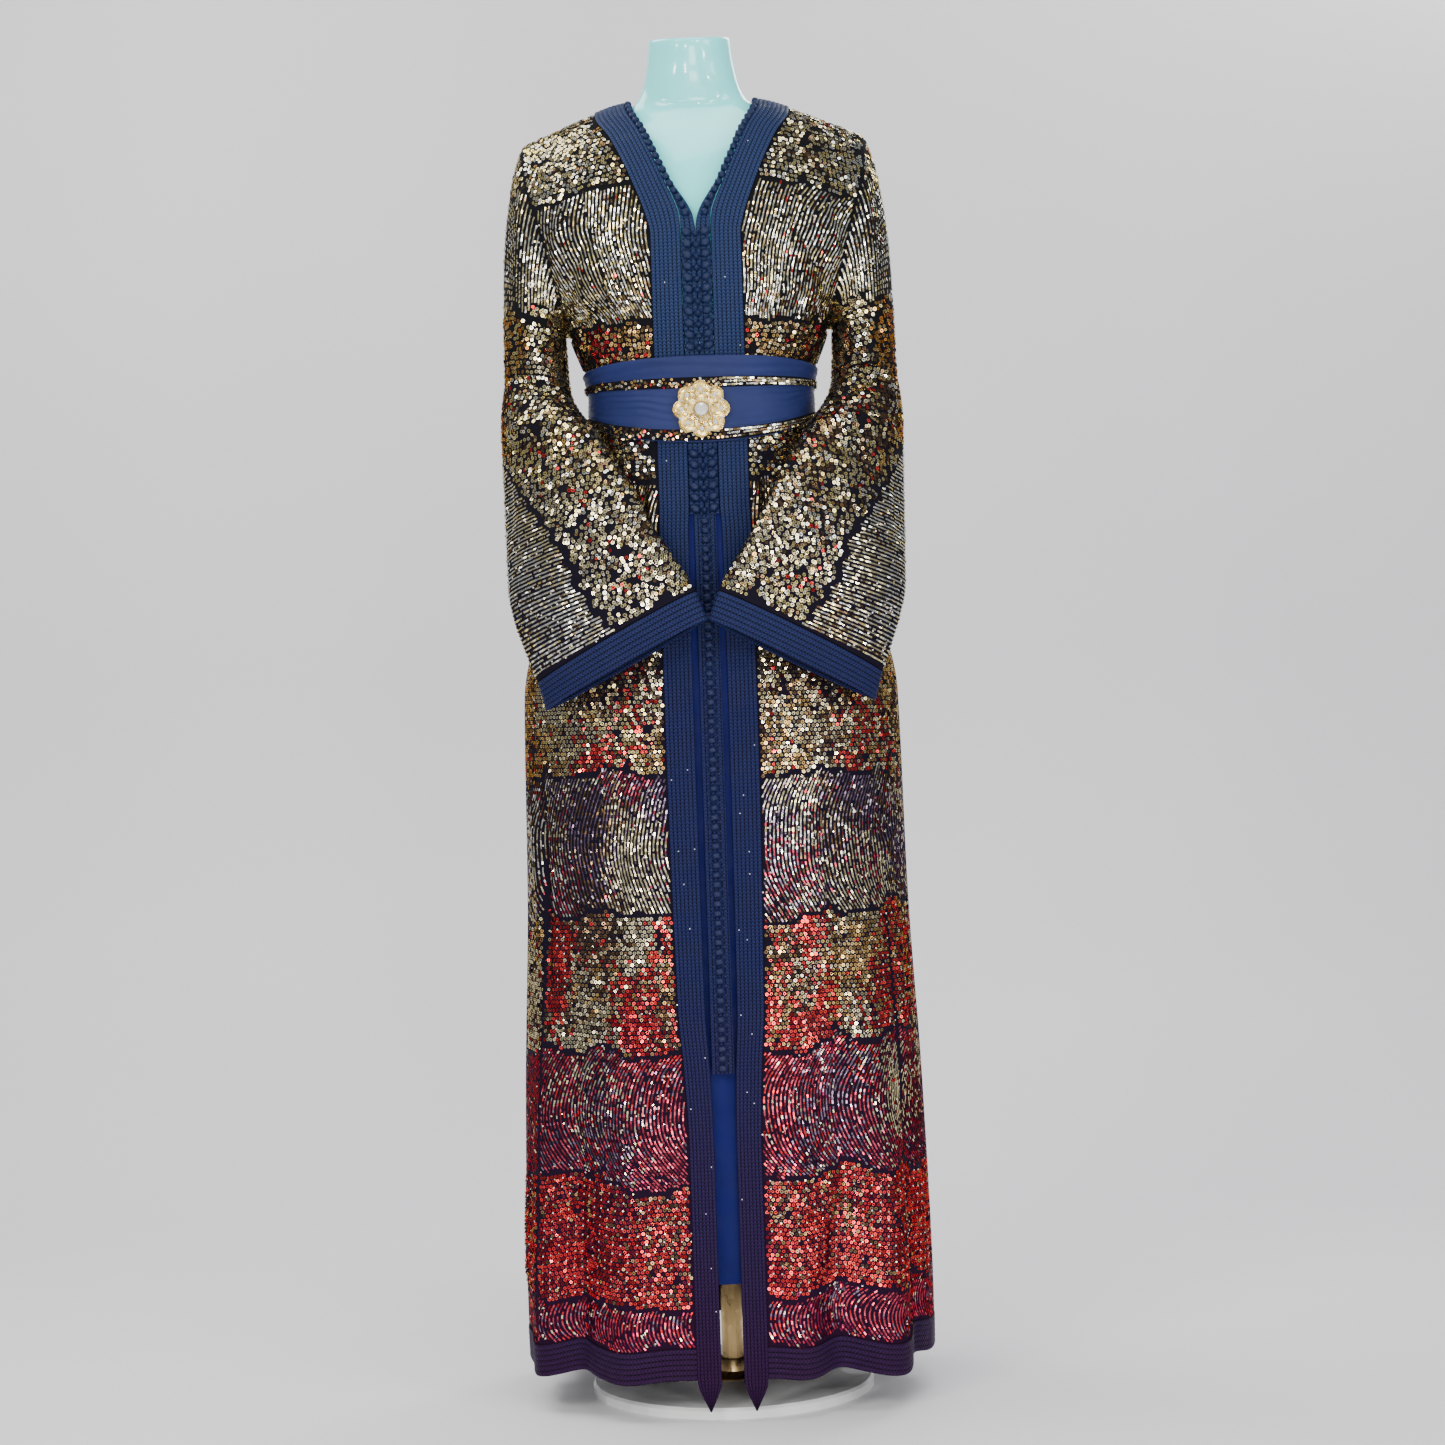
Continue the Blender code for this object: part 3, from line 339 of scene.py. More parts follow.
@dataclass(frozen=True)
class KaftanBody:
    """The surface of the kaftan's body.

    Angle 0 is centre front, a quarter turn is the wearer's left side and half a turn is
    centre back. The level is the height before the shoulders slope down.
    """

    roundness: float = 2.3
    shoulder_level: float = 1.508
    shoulder_slope: float = 0.42
    neck_edge: float = 0.085
    slope_blend: float = 0.020
    slope_start: float = 1.25
    armpit: float = 1.235
    chest: float = 1.300
    front_curve: float = 2.1
    back_curve: float = 2.7
    hem: float = 0.047
    hem_braid: float = 0.035
    hem_sag: float = 0.45
    fold_feather: float = 1.25
    fold_lean: float = 1.4
    neck_half_width: float = 0.078
    neck_depth: float = 0.068

    def half_width(self, level: Array) -> Array:
        """Half-width of the whole cross-section, also where the sleeves take over.

        Args:
            level: level on the body.

        Returns:
            The half-width at each level.
        """
        edge = ARMHOLE.read("half_width", level)
        angle = np.radians(ARMHOLE.read("angle", level))
        above = edge / np.sin(angle) ** (2 / self.roundness)
        return np.where(level > self.armpit, above, BODY_RINGS.read("half_width", level))

    def curve_in(self, level: Array, power: float) -> Array:
        """Share of the depth left above the chest, 0 at the shoulder seam."""
        rise = np.clip((level - self.chest) / (self.shoulder_level - self.chest), 0.0, 1.0)
        return (1 - rise ** power) ** (1 / power)

    def fold_depth(self, angle: Array, level: Array) -> Array:
        """Sum the hanging folds.

        Args:
            angle: angle round the body in radians.
            level: level on the body.

        Returns:
            How far the cloth stands out.
        """
        total = np.zeros(np.broadcast(angle, level).shape)
        for fold in FOLDS:
            turn = wrapped(angle - radians(fold.angle))
            growth = smooth_step((fold.top - level) / (fold.top - self.hem)) ** self.fold_feather
            total = total + fold.size * np.exp(-(turn / radians(fold.width)) ** 2) * growth
        return total

    def surface(self, angle: Array | float, level: Array | float,
                fold_share: float = 1.0, creased: bool = True) -> Array:
        """Points on the outer side of the cloth.

        Args:
            angle: angle round the body in radians.
            level: level on the body.
            fold_share: share of the hanging folds that is kept.
            creased: whether the small creases are added.

        Returns:
            Points, shape (..., 3).
        """
        angle, level = np.broadcast_arrays(np.asarray(angle, float), np.asarray(level, float))
        power = 2 / self.roundness
        sine, cosine = np.sin(angle), np.cos(angle)
        front = BODY_RINGS.read("front_depth", level) * self.curve_in(level, self.front_curve)
        back = BODY_RINGS.read("back_depth", level) * self.curve_in(level, self.back_curve)
        x = self.half_width(level) * np.sign(sine) * np.abs(sine) ** power
        y = -np.where(cosine > 0, front, back) * np.sign(cosine) * np.abs(cosine) ** power
        out = fold = fold_share * self.fold_depth(angle, level)
        if creased:
            out = fold + crease_height(BODY_CREASES, angle, level, BODY_CREASE_RADIUS, 1.0)
        out_x, out_y = x, self.fold_lean * y
        length = np.hypot(out_x, out_y) + STEP
        past = np.abs(x) - self.neck_edge
        at_centre = (np.hypot(self.neck_edge, self.slope_blend) - self.neck_edge) / 2
        slope = (past + np.hypot(past, self.slope_blend)) / 2 - at_centre
        share = smooth_step((level - self.slope_start) / (self.shoulder_level - self.slope_start))
        z = level - share * self.shoulder_slope * slope - self.hem_sag * fold
        return np.stack([x + out * out_x / length, y + out * out_y / length, z], axis=-1)

    def normal(self, angle: Array | float, level: Array | float,
               fold_share: float = 1.0, creased: bool = True) -> Array:
        """Unit vectors out of the surface.

        Args:
            angle: angle round the body in radians.
            level: level on the body.
            fold_share: share of the hanging folds that is kept.
            creased: whether the small creases are added.

        Returns:
            The vectors, shape (..., 3).
        """
        how = (fold_share, creased)
        top = np.minimum(np.asarray(level, float) + STEP, self.shoulder_level)
        along = self.surface(angle + STEP, level, *how) - self.surface(angle - STEP, level, *how)
        up = self.surface(angle, top, *how) - self.surface(angle, top - 2 * STEP, *how)
        return unit(np.cross(along, up))

    def cloth(self, angle: Array, level: Array) -> Surface:
        """Points and unit vectors out of the cloth."""
        return self.surface(angle, level), self.normal(angle, level)

    def halves(self, surface: Surface, side: float, seam: int | Sequence[int] | None) -> Surface:
        """Keep a panel's points on their side of the side seams, and its seams upright.

        Args:
            surface: points and unit vectors of the panel.
            side: -1 for the fronts and 1 for the back.
            seam: rows at the shoulder seam, if it reaches that.

        Returns:
            The points and unit vectors, mended.
        """
        points, normals = surface
        points[..., 1] = side * np.maximum(side * points[..., 1], SEAM / 2)
        if seam is not None:
            normals[seam, ..., 1] = 0.0
        return points, unit(normals)

    def angle_at(self, half_width: Array, level: Array) -> Array:
        """Angle at which the front has a half-width, with its sign."""
        share = np.clip(np.abs(half_width) / self.half_width(level), 0.0, 1.0)
        return np.sign(half_width) * np.arcsin(share ** (self.roundness / 2))

    def front_angle(self, edge: str, level: Array | float, past: float = 0.0) -> Array:
        """Angle of one of the front edges at a level, or a little past it."""
        return self.angle_at(FRONT_EDGES.read(edge, level) + past, level)

    def armhole_level(self, share: Array) -> Array:
        """Level on the armhole from the armpit (0) to the shoulder seam (1)."""
        return self.armpit + (self.shoulder_level - self.armpit) * (1 - np.cos(pi * share)) / 2

    def side_angle(self, level: Array) -> Array:
        """Angle of a front's outer edge: the side seam, or the armhole above it."""
        return np.where(level > self.armpit, np.radians(ARMHOLE.read("angle", level)), pi / 2)

    def panel_levels(self, below: int, above: int) -> Array:
        """Rows of a panel, from the hem to the shoulder seam."""
        lower = np.linspace(self.hem, self.armpit, below, endpoint=False)
        return np.concatenate([lower, self.armhole_level(np.linspace(0.0, 1.0, above))])

    def back_profile(self) -> Surface:
        """Follow the cloth of the upper back down from the shoulder seam.

        Returns:
            Distances and their levels.
        """
        shares = np.linspace(0.0, 1.0, 160)
        levels = self.shoulder_level - (self.shoulder_level - self.chest) * shares ** 2
        return run_along(self.surface(pi, levels, creased=False)), levels


@dataclass(frozen=True)
class Sleeve:
    """One sleeve. Turn 0 is its inner edge, a quarter turn its front and half a turn its
    outer edge; station 0 is the armhole, 6 the cuff's seam and 7 the sleeve's mouth.

    Args:
        body: the body that the armhole is cut in.
        side: 1 for the wearer's left sleeve and -1 for the right.
        creases: the sleeve's own creases.
    """

    body: KaftanBody
    side: float
    creases: Sequence[Crease]
    head_station: float = 1.0
    head_step: float = 0.3
    fullness: float = 1.45
    cuff_station: float = 6.0
    cuff_gap: float = 0.017
    edge_station: float = 7.0
    armhole_gap: float = 0.00055
    armhole_centre: tuple[float, float, float] = (0.190, 0.0, 1.350)

    @property
    def flip(self) -> Array:
        """Factors that turn the left sleeve's points into this one's."""
        return np.array([self.side, 1.0, 1.0])

    def ring(self, station: Array, turn: Array) -> Array:
        """Points on the tube of the wearer's left sleeve.

        Args:
            station: station along the sleeve.
            turn: turn round it in radians.

        Returns:
            Points, shape (..., 3).
        """
        def edge(end: str, at: Array) -> Array:
            """Points on the sleeve's inner or outer edge."""
            return np.stack([SLEEVE_RINGS.read(end + axis, at) for axis in ("_x", "_y", "_z")], -1)

        inner, outer = edge("inner", station), edge("outer", station)
        ahead, behind = (edge("inner", at) + edge("outer", at) for at in (station + 0.05, station - 0.05))
        half = (outer - inner) / 2
        forward = unit(np.cross(ahead - behind, half))
        depth = SLEEVE_RINGS.read("half_depth", station)[..., None]
        out = forward * depth * np.sin(turn)[..., None] - half * np.cos(turn)[..., None]
        crease = crease_height(self.creases, turn, station, SLEEVE_CREASE_RADIUS,
                               SLEEVE_STATION_LENGTH)
        return (inner + outer) / 2 + out + unit(out) * crease[..., None]

    def armhole(self, turn: Array) -> Surface:
        """Follow the armhole, from the armpit over the front.

        Args:
            turn: turn round it in radians.

        Returns:
            Points and unit vectors out of the body, both as on the left.
        """
        share = np.where(turn <= pi, turn, 2 * pi - turn) / pi
        level = self.body.armhole_level(share)
        angle = self.body.side_angle(level)
        angle = self.side * np.where(turn <= pi, angle, pi - angle)
        points, normals = (part * self.flip for part in self.body.cloth(angle, level))
        normals[np.abs(turn - pi) < STEP, 1] = 0.0
        inward = unit(np.array(self.armhole_centre) - points)
        return points + inward * self.armhole_gap, unit(normals)

    def surface(self, station: Array | float, turn: Array | float) -> Array:
        """Points on the sleeve: a rounded head from the armhole, then the tube.

        Args:
            station: station along the sleeve.
            turn: turn round it in radians.

        Returns:
            Points, shape (..., 3).
        """
        station, turn = np.broadcast_arrays(np.asarray(station, float), np.asarray(turn, float))
        turn = turn % (2 * pi)
        share = np.clip(station / self.head_station, 0.0, 1.0)[..., None]
        start = self.armhole(turn.ravel())[0].reshape(turn.shape + (3,))
        head = self.ring(np.full(turn.shape, self.head_station), turn)
        below = self.ring(np.full(turn.shape, self.head_station + self.head_step), turn)
        run = (below - head) / self.head_step
        control = head - run * self.fullness * np.sin(turn / 2)[..., None] ** 2
        capped = start * (1 - share) ** 2 + 2 * control * share * (1 - share) + head * share ** 2
        tube = self.ring(np.maximum(station, self.head_station), turn)
        return np.where(station[..., None] < self.head_station, capped, tube) * self.flip

    def normal(self, station: Array | float, turn: Array | float) -> Array:
        """Unit vectors out of the sleeve.

        Args:
            station: station along the sleeve.
            turn: turn round it in radians.

        Returns:
            The vectors, shape (..., 3).
        """
        low, high = (np.clip(station + step, 0.0, self.edge_station) for step in (-0.01, 0.01))
        along = self.surface(high, turn) - self.surface(low, turn)
        around = self.surface(station, turn + 0.01) - self.surface(station, turn - 0.01)
        return self.side * unit(np.cross(along, around))


class MeshParts:
    """Collects pieces of geometry, with their material slots, for one mesh."""

    def __init__(self) -> None:
        self.points: list[Array] = []
        self.faces: list[list[int]] = []
        self.slots: list[int] = []
        self.count = 0

    def add(self, points: Array, faces: Array | list, slots: Array | int = 0) -> None:
        """Add a piece of geometry.

        Args:
            points: its points, shape (n, 3).
            faces: faces that index them.
            slots: material slot of each face, or of all of them.
        """
        points = np.asarray(points, float).reshape(-1, 3)
        if isinstance(faces, np.ndarray):
            self.faces.extend((faces + self.count).tolist())
        else:
            self.faces.extend([index + self.count for index in face] for face in faces)
        self.points.append(points)
        self.slots.extend([slots] * len(faces) if isinstance(slots, int) else slots.tolist())
        self.count += len(points)

    def add_copies(self, corners: Array, faces: Sequence[Sequence[int]], slots: Array) -> None:
        """Add many small shapes that share one layout of faces.

        Args:
            corners: corners of each shape, shape (n, corners, 3).
            faces: corners of each face of one shape.
            slots: material slots, a row for each shape.
        """
        first = corners.shape[1] * np.arange(len(corners))[:, None, None]
        self.add(corners, (np.array(faces)[None] + first).reshape(-1, 4), slots.ravel())

    def mesh(self, name: str, materials: Sequence[Material], smooth: bool = True) -> bpy.types.Mesh:
        """Make the mesh.

        Args:
            name: the mesh's name.
            materials: its materials in the order of their slots.
            smooth: whether it is shaded smooth.

        Returns:
            The mesh.
        """
        data = bpy.data.meshes.new(name)
        data.from_pydata(np.concatenate(self.points).tolist(), [], self.faces)
        for material in materials:
            data.materials.append(material)
        data.polygons.foreach_set("material_index", np.array(self.slots, np.int32))
        if smooth:
            data.shade_smooth()
            data.set_sharp_from_angle(angle=radians(42))
        data.update()
        return data

    def piece(self, name: str, materials: Sequence[Material], slot: str,
              replaces: Sequence[str] = (), smooth: bool = True) -> Piece:
        """Make the mesh and add it to the frame.

        Args:
            name: the piece's name.
            materials: its materials in the order of their slots.
            slot: material slot of the record; not used.
            replaces: CAD nodes that it stands for.
            smooth: whether it is shaded smooth.

        Returns:
            The object.
        """
        return place_piece(name, self.mesh(name, materials, smooth), replaces)


def place_piece(name: str, mesh: bpy.types.Mesh, replaces: Sequence[str] = ()) -> Piece:
    """Add a finished piece to the frame.

    Args:
        name: the piece's name.
        mesh: its mesh, already in place.
        replaces: CAD nodes that it stands for.

    Returns:
        The object.
    """
    piece = bpy.data.objects.new(name, mesh)
    bpy.context.scene.collection.objects.link(piece)
    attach(piece, "root")
    if replaces:
        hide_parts(*replaces)
    log.info("%s: %d faces", name, len(mesh.polygons))
    return piece


def grid_faces(rows: int, columns: int, around: bool) -> Array:
    """Corners of a grid's quads.

    Args:
        rows: number of rows.
        columns: number of columns.
        around: whether the last column joins the first.

    Returns:
        Row and column of each corner, with the last column not wrapped yet.
    """
    last = columns if around else columns - 1
    row, column = (part.ravel() for part in np.mgrid[0:rows - 1, 0:last])
    corners = [(row, column), (row, column + 1), (row + 1, column + 1), (row + 1, column)]
    return np.stack([np.stack(corner, axis=-1) for corner in corners], axis=1)


def ring_quads(rows: int, columns: int) -> Array:
    """Quads between rings of points, as indices of their points."""
    corners = grid_faces(rows, columns, True)
    return corners[..., 0] * columns + corners[..., 1] % columns


def cloth_mesh(name: str, surface: Surface, material: Material, around: bool = False,
               cords_around: bool = False) -> bpy.types.Mesh:
    """Make a thin closed wall with a UV map in metres, its faces pointing outward.

    Args:
        name: name of the mesh.
        surface: points of the side that shows and of the other side, rows by columns.
        material: the cloth's material.
        around: whether the last column joins the first.
        cords_around: whether a braid's cords run along the rows.

    Returns:
        The mesh.
    """
    outer, inner = surface
    rows, columns = outer.shape[:2]
    corners = grid_faces(rows, columns, around)
    front = corners[..., 0] * columns + corners[..., 1] % columns
    size = rows * columns
    closed = np.concatenate([outer, outer[:, :1]], axis=1) if around else outer
    across = np.linalg.norm(np.diff(closed, axis=1), axis=2).mean(axis=0)
    up = np.linalg.norm(np.diff(closed, axis=0), axis=2).mean(axis=1)
    across, up = (np.concatenate([[0.0], np.cumsum(steps)]) for steps in (across, up))
    uv = np.stack([across[corners[..., 1]], up[corners[..., 0]]], axis=-1)
    edges = [pair for c in range(columns if around else columns - 1)
             for pair in ([[0, c + 1], [0, c]], [[rows - 1, c], [rows - 1, c + 1]])]
    if not around:
        edges += [[[r, 0], [r + 1, 0]] for r in range(rows - 1)]
        edges += [[[r + 1, columns - 1], [r, columns - 1]] for r in range(rows - 1)]
    edge = np.array(edges)
    rim = edge[..., 0] * columns + edge[..., 1] % columns
    rim_uv = np.stack([across[edge[..., 1]], up[edge[..., 0]]], axis=-1)
    quads = np.concatenate([front, front[:, ::-1] + size,
                            np.concatenate([rim, rim[:, ::-1] + size], axis=1)])
    loops = np.concatenate([uv, uv[:, ::-1], np.concatenate([rim_uv, rim_uv[:, ::-1]], axis=1)])
    points = np.concatenate([outer.reshape(-1, 3), inner.reshape(-1, 3)])
    a, b, d = (points[front[:, i]] for i in (0, 1, 3))
    facing = (np.cross(b - a, d - a) * (points[front[:, 0]] - points[front[:, 0] + size])).sum()
    if facing < 0:
        quads, loops = quads[:, ::-1], loops[:, ::-1]
    if cords_around:
        loops = loops[..., ::-1]
    data = bpy.data.meshes.new(name)
    data.from_pydata(points.tolist(), [], quads.tolist())
    layer = data.uv_layers.new(name=UV_NAME)
    layer.data.foreach_set("uv", loops.reshape(-1).astype(np.float32))
    data.materials.append(material)
    data.shade_smooth()
    data.set_sharp_from_angle(angle=radians(50))
    data.update()
    return data


def tube(path: Array, radius: float, sides: int = 8, closed: bool = False,
         reference: tuple[float, float, float] = (0.0, -1.0, 0.0)) -> tuple[Array, list]:
    """Sweep a round wire along a path.

    Args:
        path: points of the wire's centre, shape (n, 3).
        radius: the wire's radius.
        sides: sides of its cross-section.
        closed: whether its end joins its start.
        reference: a direction that the path never takes.

    Returns:
        Points and faces.
    """
    ahead = (np.roll(path, -1, axis=0) - np.roll(path, 1, axis=0) if closed
             else np.gradient(path, axis=0))
    tangent = unit(ahead)
    side = unit(np.cross(tangent, np.array(reference)))
    up = np.cross(side, tangent)
    turn = full_turn(sides)
    ring = (path[:, None] + radius * (side[:, None] * np.cos(turn)[None, :, None]
                                      + up[:, None] * np.sin(turn)[None, :, None]))
    count = len(path)
    faces = (ring_quads(count + closed, sides) % (count * sides)).tolist()
    if not closed:
        faces += [list(range(sides))[::-1], [(count - 1) * sides + j for j in range(sides)]]
    return ring.reshape(-1, 3), faces


def dome(columns: int, rows: int, low: float, ridges: float = 0.0,
         lobes: int = 5, twist: float = 3.0) -> tuple[Array, list]:
    """A unit dome with a closed top, its axis along +Z.

    Args:
        columns: sides of each ring.
        rows: rings from the top down.
        low: polar angle of the lowest ring in degrees.
        ridges: depth of the cords wound over it, as a share of its radius.
        lobes: number of cords.
        twist: how far they wind on the way down.

    Returns:
        Points and faces.
    """
    polar = np.radians(np.linspace(14.0, low, rows))[:, None]
    turn = full_turn(columns)[None, :]
    radius = 1 + ridges * np.cos(lobes * turn + twist * polar)
    points = np.stack([radius * np.sin(polar) * np.cos(turn), radius * np.sin(polar) * np.sin(turn),
                       radius * np.cos(polar)], axis=-1)
    faces = ring_quads(rows, columns)[:, ::-1].tolist()
    return points.reshape(-1, 3), faces + [list(range(columns))]


class Tone(IntEnum):
    """Sequin colours, in the order of their material slots."""

    SILVER = 0
    CHAMPAGNE = 1
    PALE_GOLD = 2
    GOLD = 3
    AMBER = 4
    BRONZE = 5
    CORAL = 6
    RED = 7
    ROSE = 8
    WINE = 9
    MAUVE = 10
    DARK = 11
    PEARL = 12


@dataclass(frozen=True)
class SequinFinish:
    """Look of one sequin colour."""

    colour: Colour
    low_roughness: float = 0.10
    high_roughness: float = 0.25
    metallic: float = 0.95


SEQUIN_FINISHES = {
    Tone.SILVER: SequinFinish((0.78, 0.78, 0.70)),
    Tone.CHAMPAGNE: SequinFinish((0.82, 0.72, 0.43)),
    Tone.PALE_GOLD: SequinFinish((0.88, 0.73, 0.30)),
    Tone.GOLD: SequinFinish((0.70, 0.43, 0.14)),
    Tone.AMBER: SequinFinish((0.68, 0.28, 0.05)),
    Tone.BRONZE: SequinFinish((0.20, 0.12, 0.06)),
    Tone.CORAL: SequinFinish((0.80, 0.056, 0.044)),
    Tone.RED: SequinFinish((0.58, 0.029, 0.032)),
    Tone.ROSE: SequinFinish((0.46, 0.055, 0.085)),
    Tone.WINE: SequinFinish((0.20, 0.015, 0.045)),
    Tone.MAUVE: SequinFinish((0.22, 0.15, 0.22)),
    Tone.DARK: SequinFinish((0.006, 0.005, 0.009), 0.6, 0.7, 0.0),
    Tone.PEARL: SequinFinish((0.86, 0.80, 0.70), 0.2, 0.3, 0.0),
}


class Stitch(Enum):
    """How a band's sequins are sewn."""

    SCATTER = "rings sewn side by side"
    LINES = "rows of sequins sewn on edge"


@dataclass(frozen=True)
class Band:
    """A band of embroidery across the body.

    Args:
        stitch: how it is sewn.
        colours: its tones with their shares, as in "coral 68, red 18".
        patches: how strongly each colour keeps to its own patches.
        top: level of its upper edge, for a band of the body.
        bend: how far the ends of its lines bend aside, in metres.
        beads: share of sequins with a bright bead beside them.
        order: 1 for rings in straight rows, 0 for loose ones.
    """

    stitch: Stitch
    colours: str
    patches: float = 1.5
    top: float = 0.0
    bend: float = 0.0
    beads: float = 0.0
    order: float = 0.0

    def tones(self) -> list[tuple[Tone, float]]:
        """The band's tones with their shares."""
        words = [colour.split() for colour in self.colours.split(", ")]
        return [(Tone["_".join(name).upper()], float(share)) for *name, share in words]


BAND_FLOOR = 0.083
BANDS = (
    Band(Stitch.LINES, "rose 45, wine 26, red 14, mauve 10, champagne 5", 1.5, 0.135, 0.012, 0.05),
    Band(Stitch.SCATTER, "coral 68, red 18, gold 3, wine 6, bronze 5", 2.0, 0.270, 0.0, 0.92, 1.0),
    Band(Stitch.LINES, "rose 50, red 12, champagne 8, wine 16, mauve 14", 2.6, 0.415, 0.034, 0.05),
    Band(Stitch.SCATTER, "coral 34, gold 18, champagne 30, bronze 14, red 4", 4.0, 0.565, 0.0, 0.70, 1.0),
    Band(Stitch.LINES, "silver 20, mauve 22, champagne 30, rose 10, bronze 18", 2.8, 0.720, 0.022, 0.05),
    Band(Stitch.SCATTER, "champagne 34, gold 26, pale gold 14, bronze 18, coral 4",
         3.0, 0.875, 0.0, 0.45, 0.8),
    Band(Stitch.LINES, "champagne 46, silver 20, pale gold 18, bronze 14, coral 2",
         1.5, 1.056, 0.010, 0.05),
    Band(Stitch.SCATTER, "champagne 46, pale gold 24, silver 18, bronze 9, coral 3", 1.5, 1.160),
    Band(Stitch.SCATTER, "champagne 48, red 9, gold 22, bronze 21", 2.0, 1.236),
    Band(Stitch.LINES, "silver 34, champagne 30, bronze 20, pale gold 15, coral 1",
         1.6, 1.400, 0.014, 0.04),
    Band(Stitch.SCATTER, "champagne 40, silver 26, pale gold 18, bronze 16", 1.6, 1.508),
)
UPPER_SLEEVE = Band(Stitch.SCATTER, "champagne 42, silver 22, pale gold 20, bronze 16", 1.6)
SLEEVE_LINES = Band(Stitch.LINES, "silver 56, champagne 30, pale gold 6, bronze 8", 1.6, beads=0.07)
FOREARM = Band(Stitch.SCATTER, "champagne 44, pale gold 20, silver 12, bronze 16, coral 3, gold 5", 1.8)
GOLDEN_ARM = Band(Stitch.SCATTER, "amber 30, gold 36, pale gold 20, bronze 14")
BELT_STRIP = Band(Stitch.SCATTER, "champagne 40, gold 18, silver 16, bronze 20, coral 6")
BELT_LINES = Band(Stitch.LINES, "silver 50, champagne 40, bronze 10")

# Where the skirt's embroidery is broken into cells, in degrees round the body
CELL_EDGES = (0.0, 30.0, 58.0, 90.0, 121.0, 150.0, 180.0, 209.0, 240.0, 270.0, 299.0, 328.0, 360.0)


class CellGap(NamedTuple):
    """A dark upright break between two cells."""

    angle: float
    low: float
    high: float
    half_width: float


CELL_GAPS = (
    CellGap(299.0, 0.100, 0.735, 0.0034),
    CellGap(58.0, 0.120, 0.560, 0.0028),
    CellGap(121.0, 0.140, 0.700, 0.0030),
    CellGap(240.0, 0.100, 0.720, 0.0032),
    CellGap(180.0, 0.160, 0.560, 0.0026),
)


class Places(NamedTuple):
    """Where sequins go: points, unit vectors out of the cloth and ways along it."""

    points: Array
    normals: Array
    along: Array

    def only(self, chosen: Array) -> Places:
        """Keep the chosen places."""
        return Places(*(part[chosen] for part in self))


class Palette:
    """Picks sequin colours, in patches where a band asks for them."""

    PATCH_SIZE = 0.046
    PATCH_SHAPE = np.array([1.0, 1.0, 0.55])
    PATCH_STRENGTH = 2.4

    def __init__(self, seed: int) -> None:
        self.rng = np.random.default_rng(seed)
        self.patches = [SmoothNoise(seed + 10 + tone, self.PATCH_SIZE) for tone in Tone]

    def pick(self, band: Band, points: Array) -> Array:
        """Choose a tone for each point of a band.

        Args:
            band: the band.
            points: the points, shape (n, 3).

        Returns:
            The tones' numbers.
        """
        stretched = points * self.PATCH_SHAPE
        weights = []
        for tone, share in band.tones():
            patch = self.patches[tone].at(stretched) - 0.5
            weights.append(share * np.exp(self.PATCH_STRENGTH * band.patches * patch))
        total = np.cumsum(np.stack(weights, axis=-1), axis=-1)
        drawn = self.rng.random(len(points))[:, None] * total[:, -1:]
        return np.array([int(tone) for tone, _ in band.tones()])[(drawn > total).sum(axis=-1)]


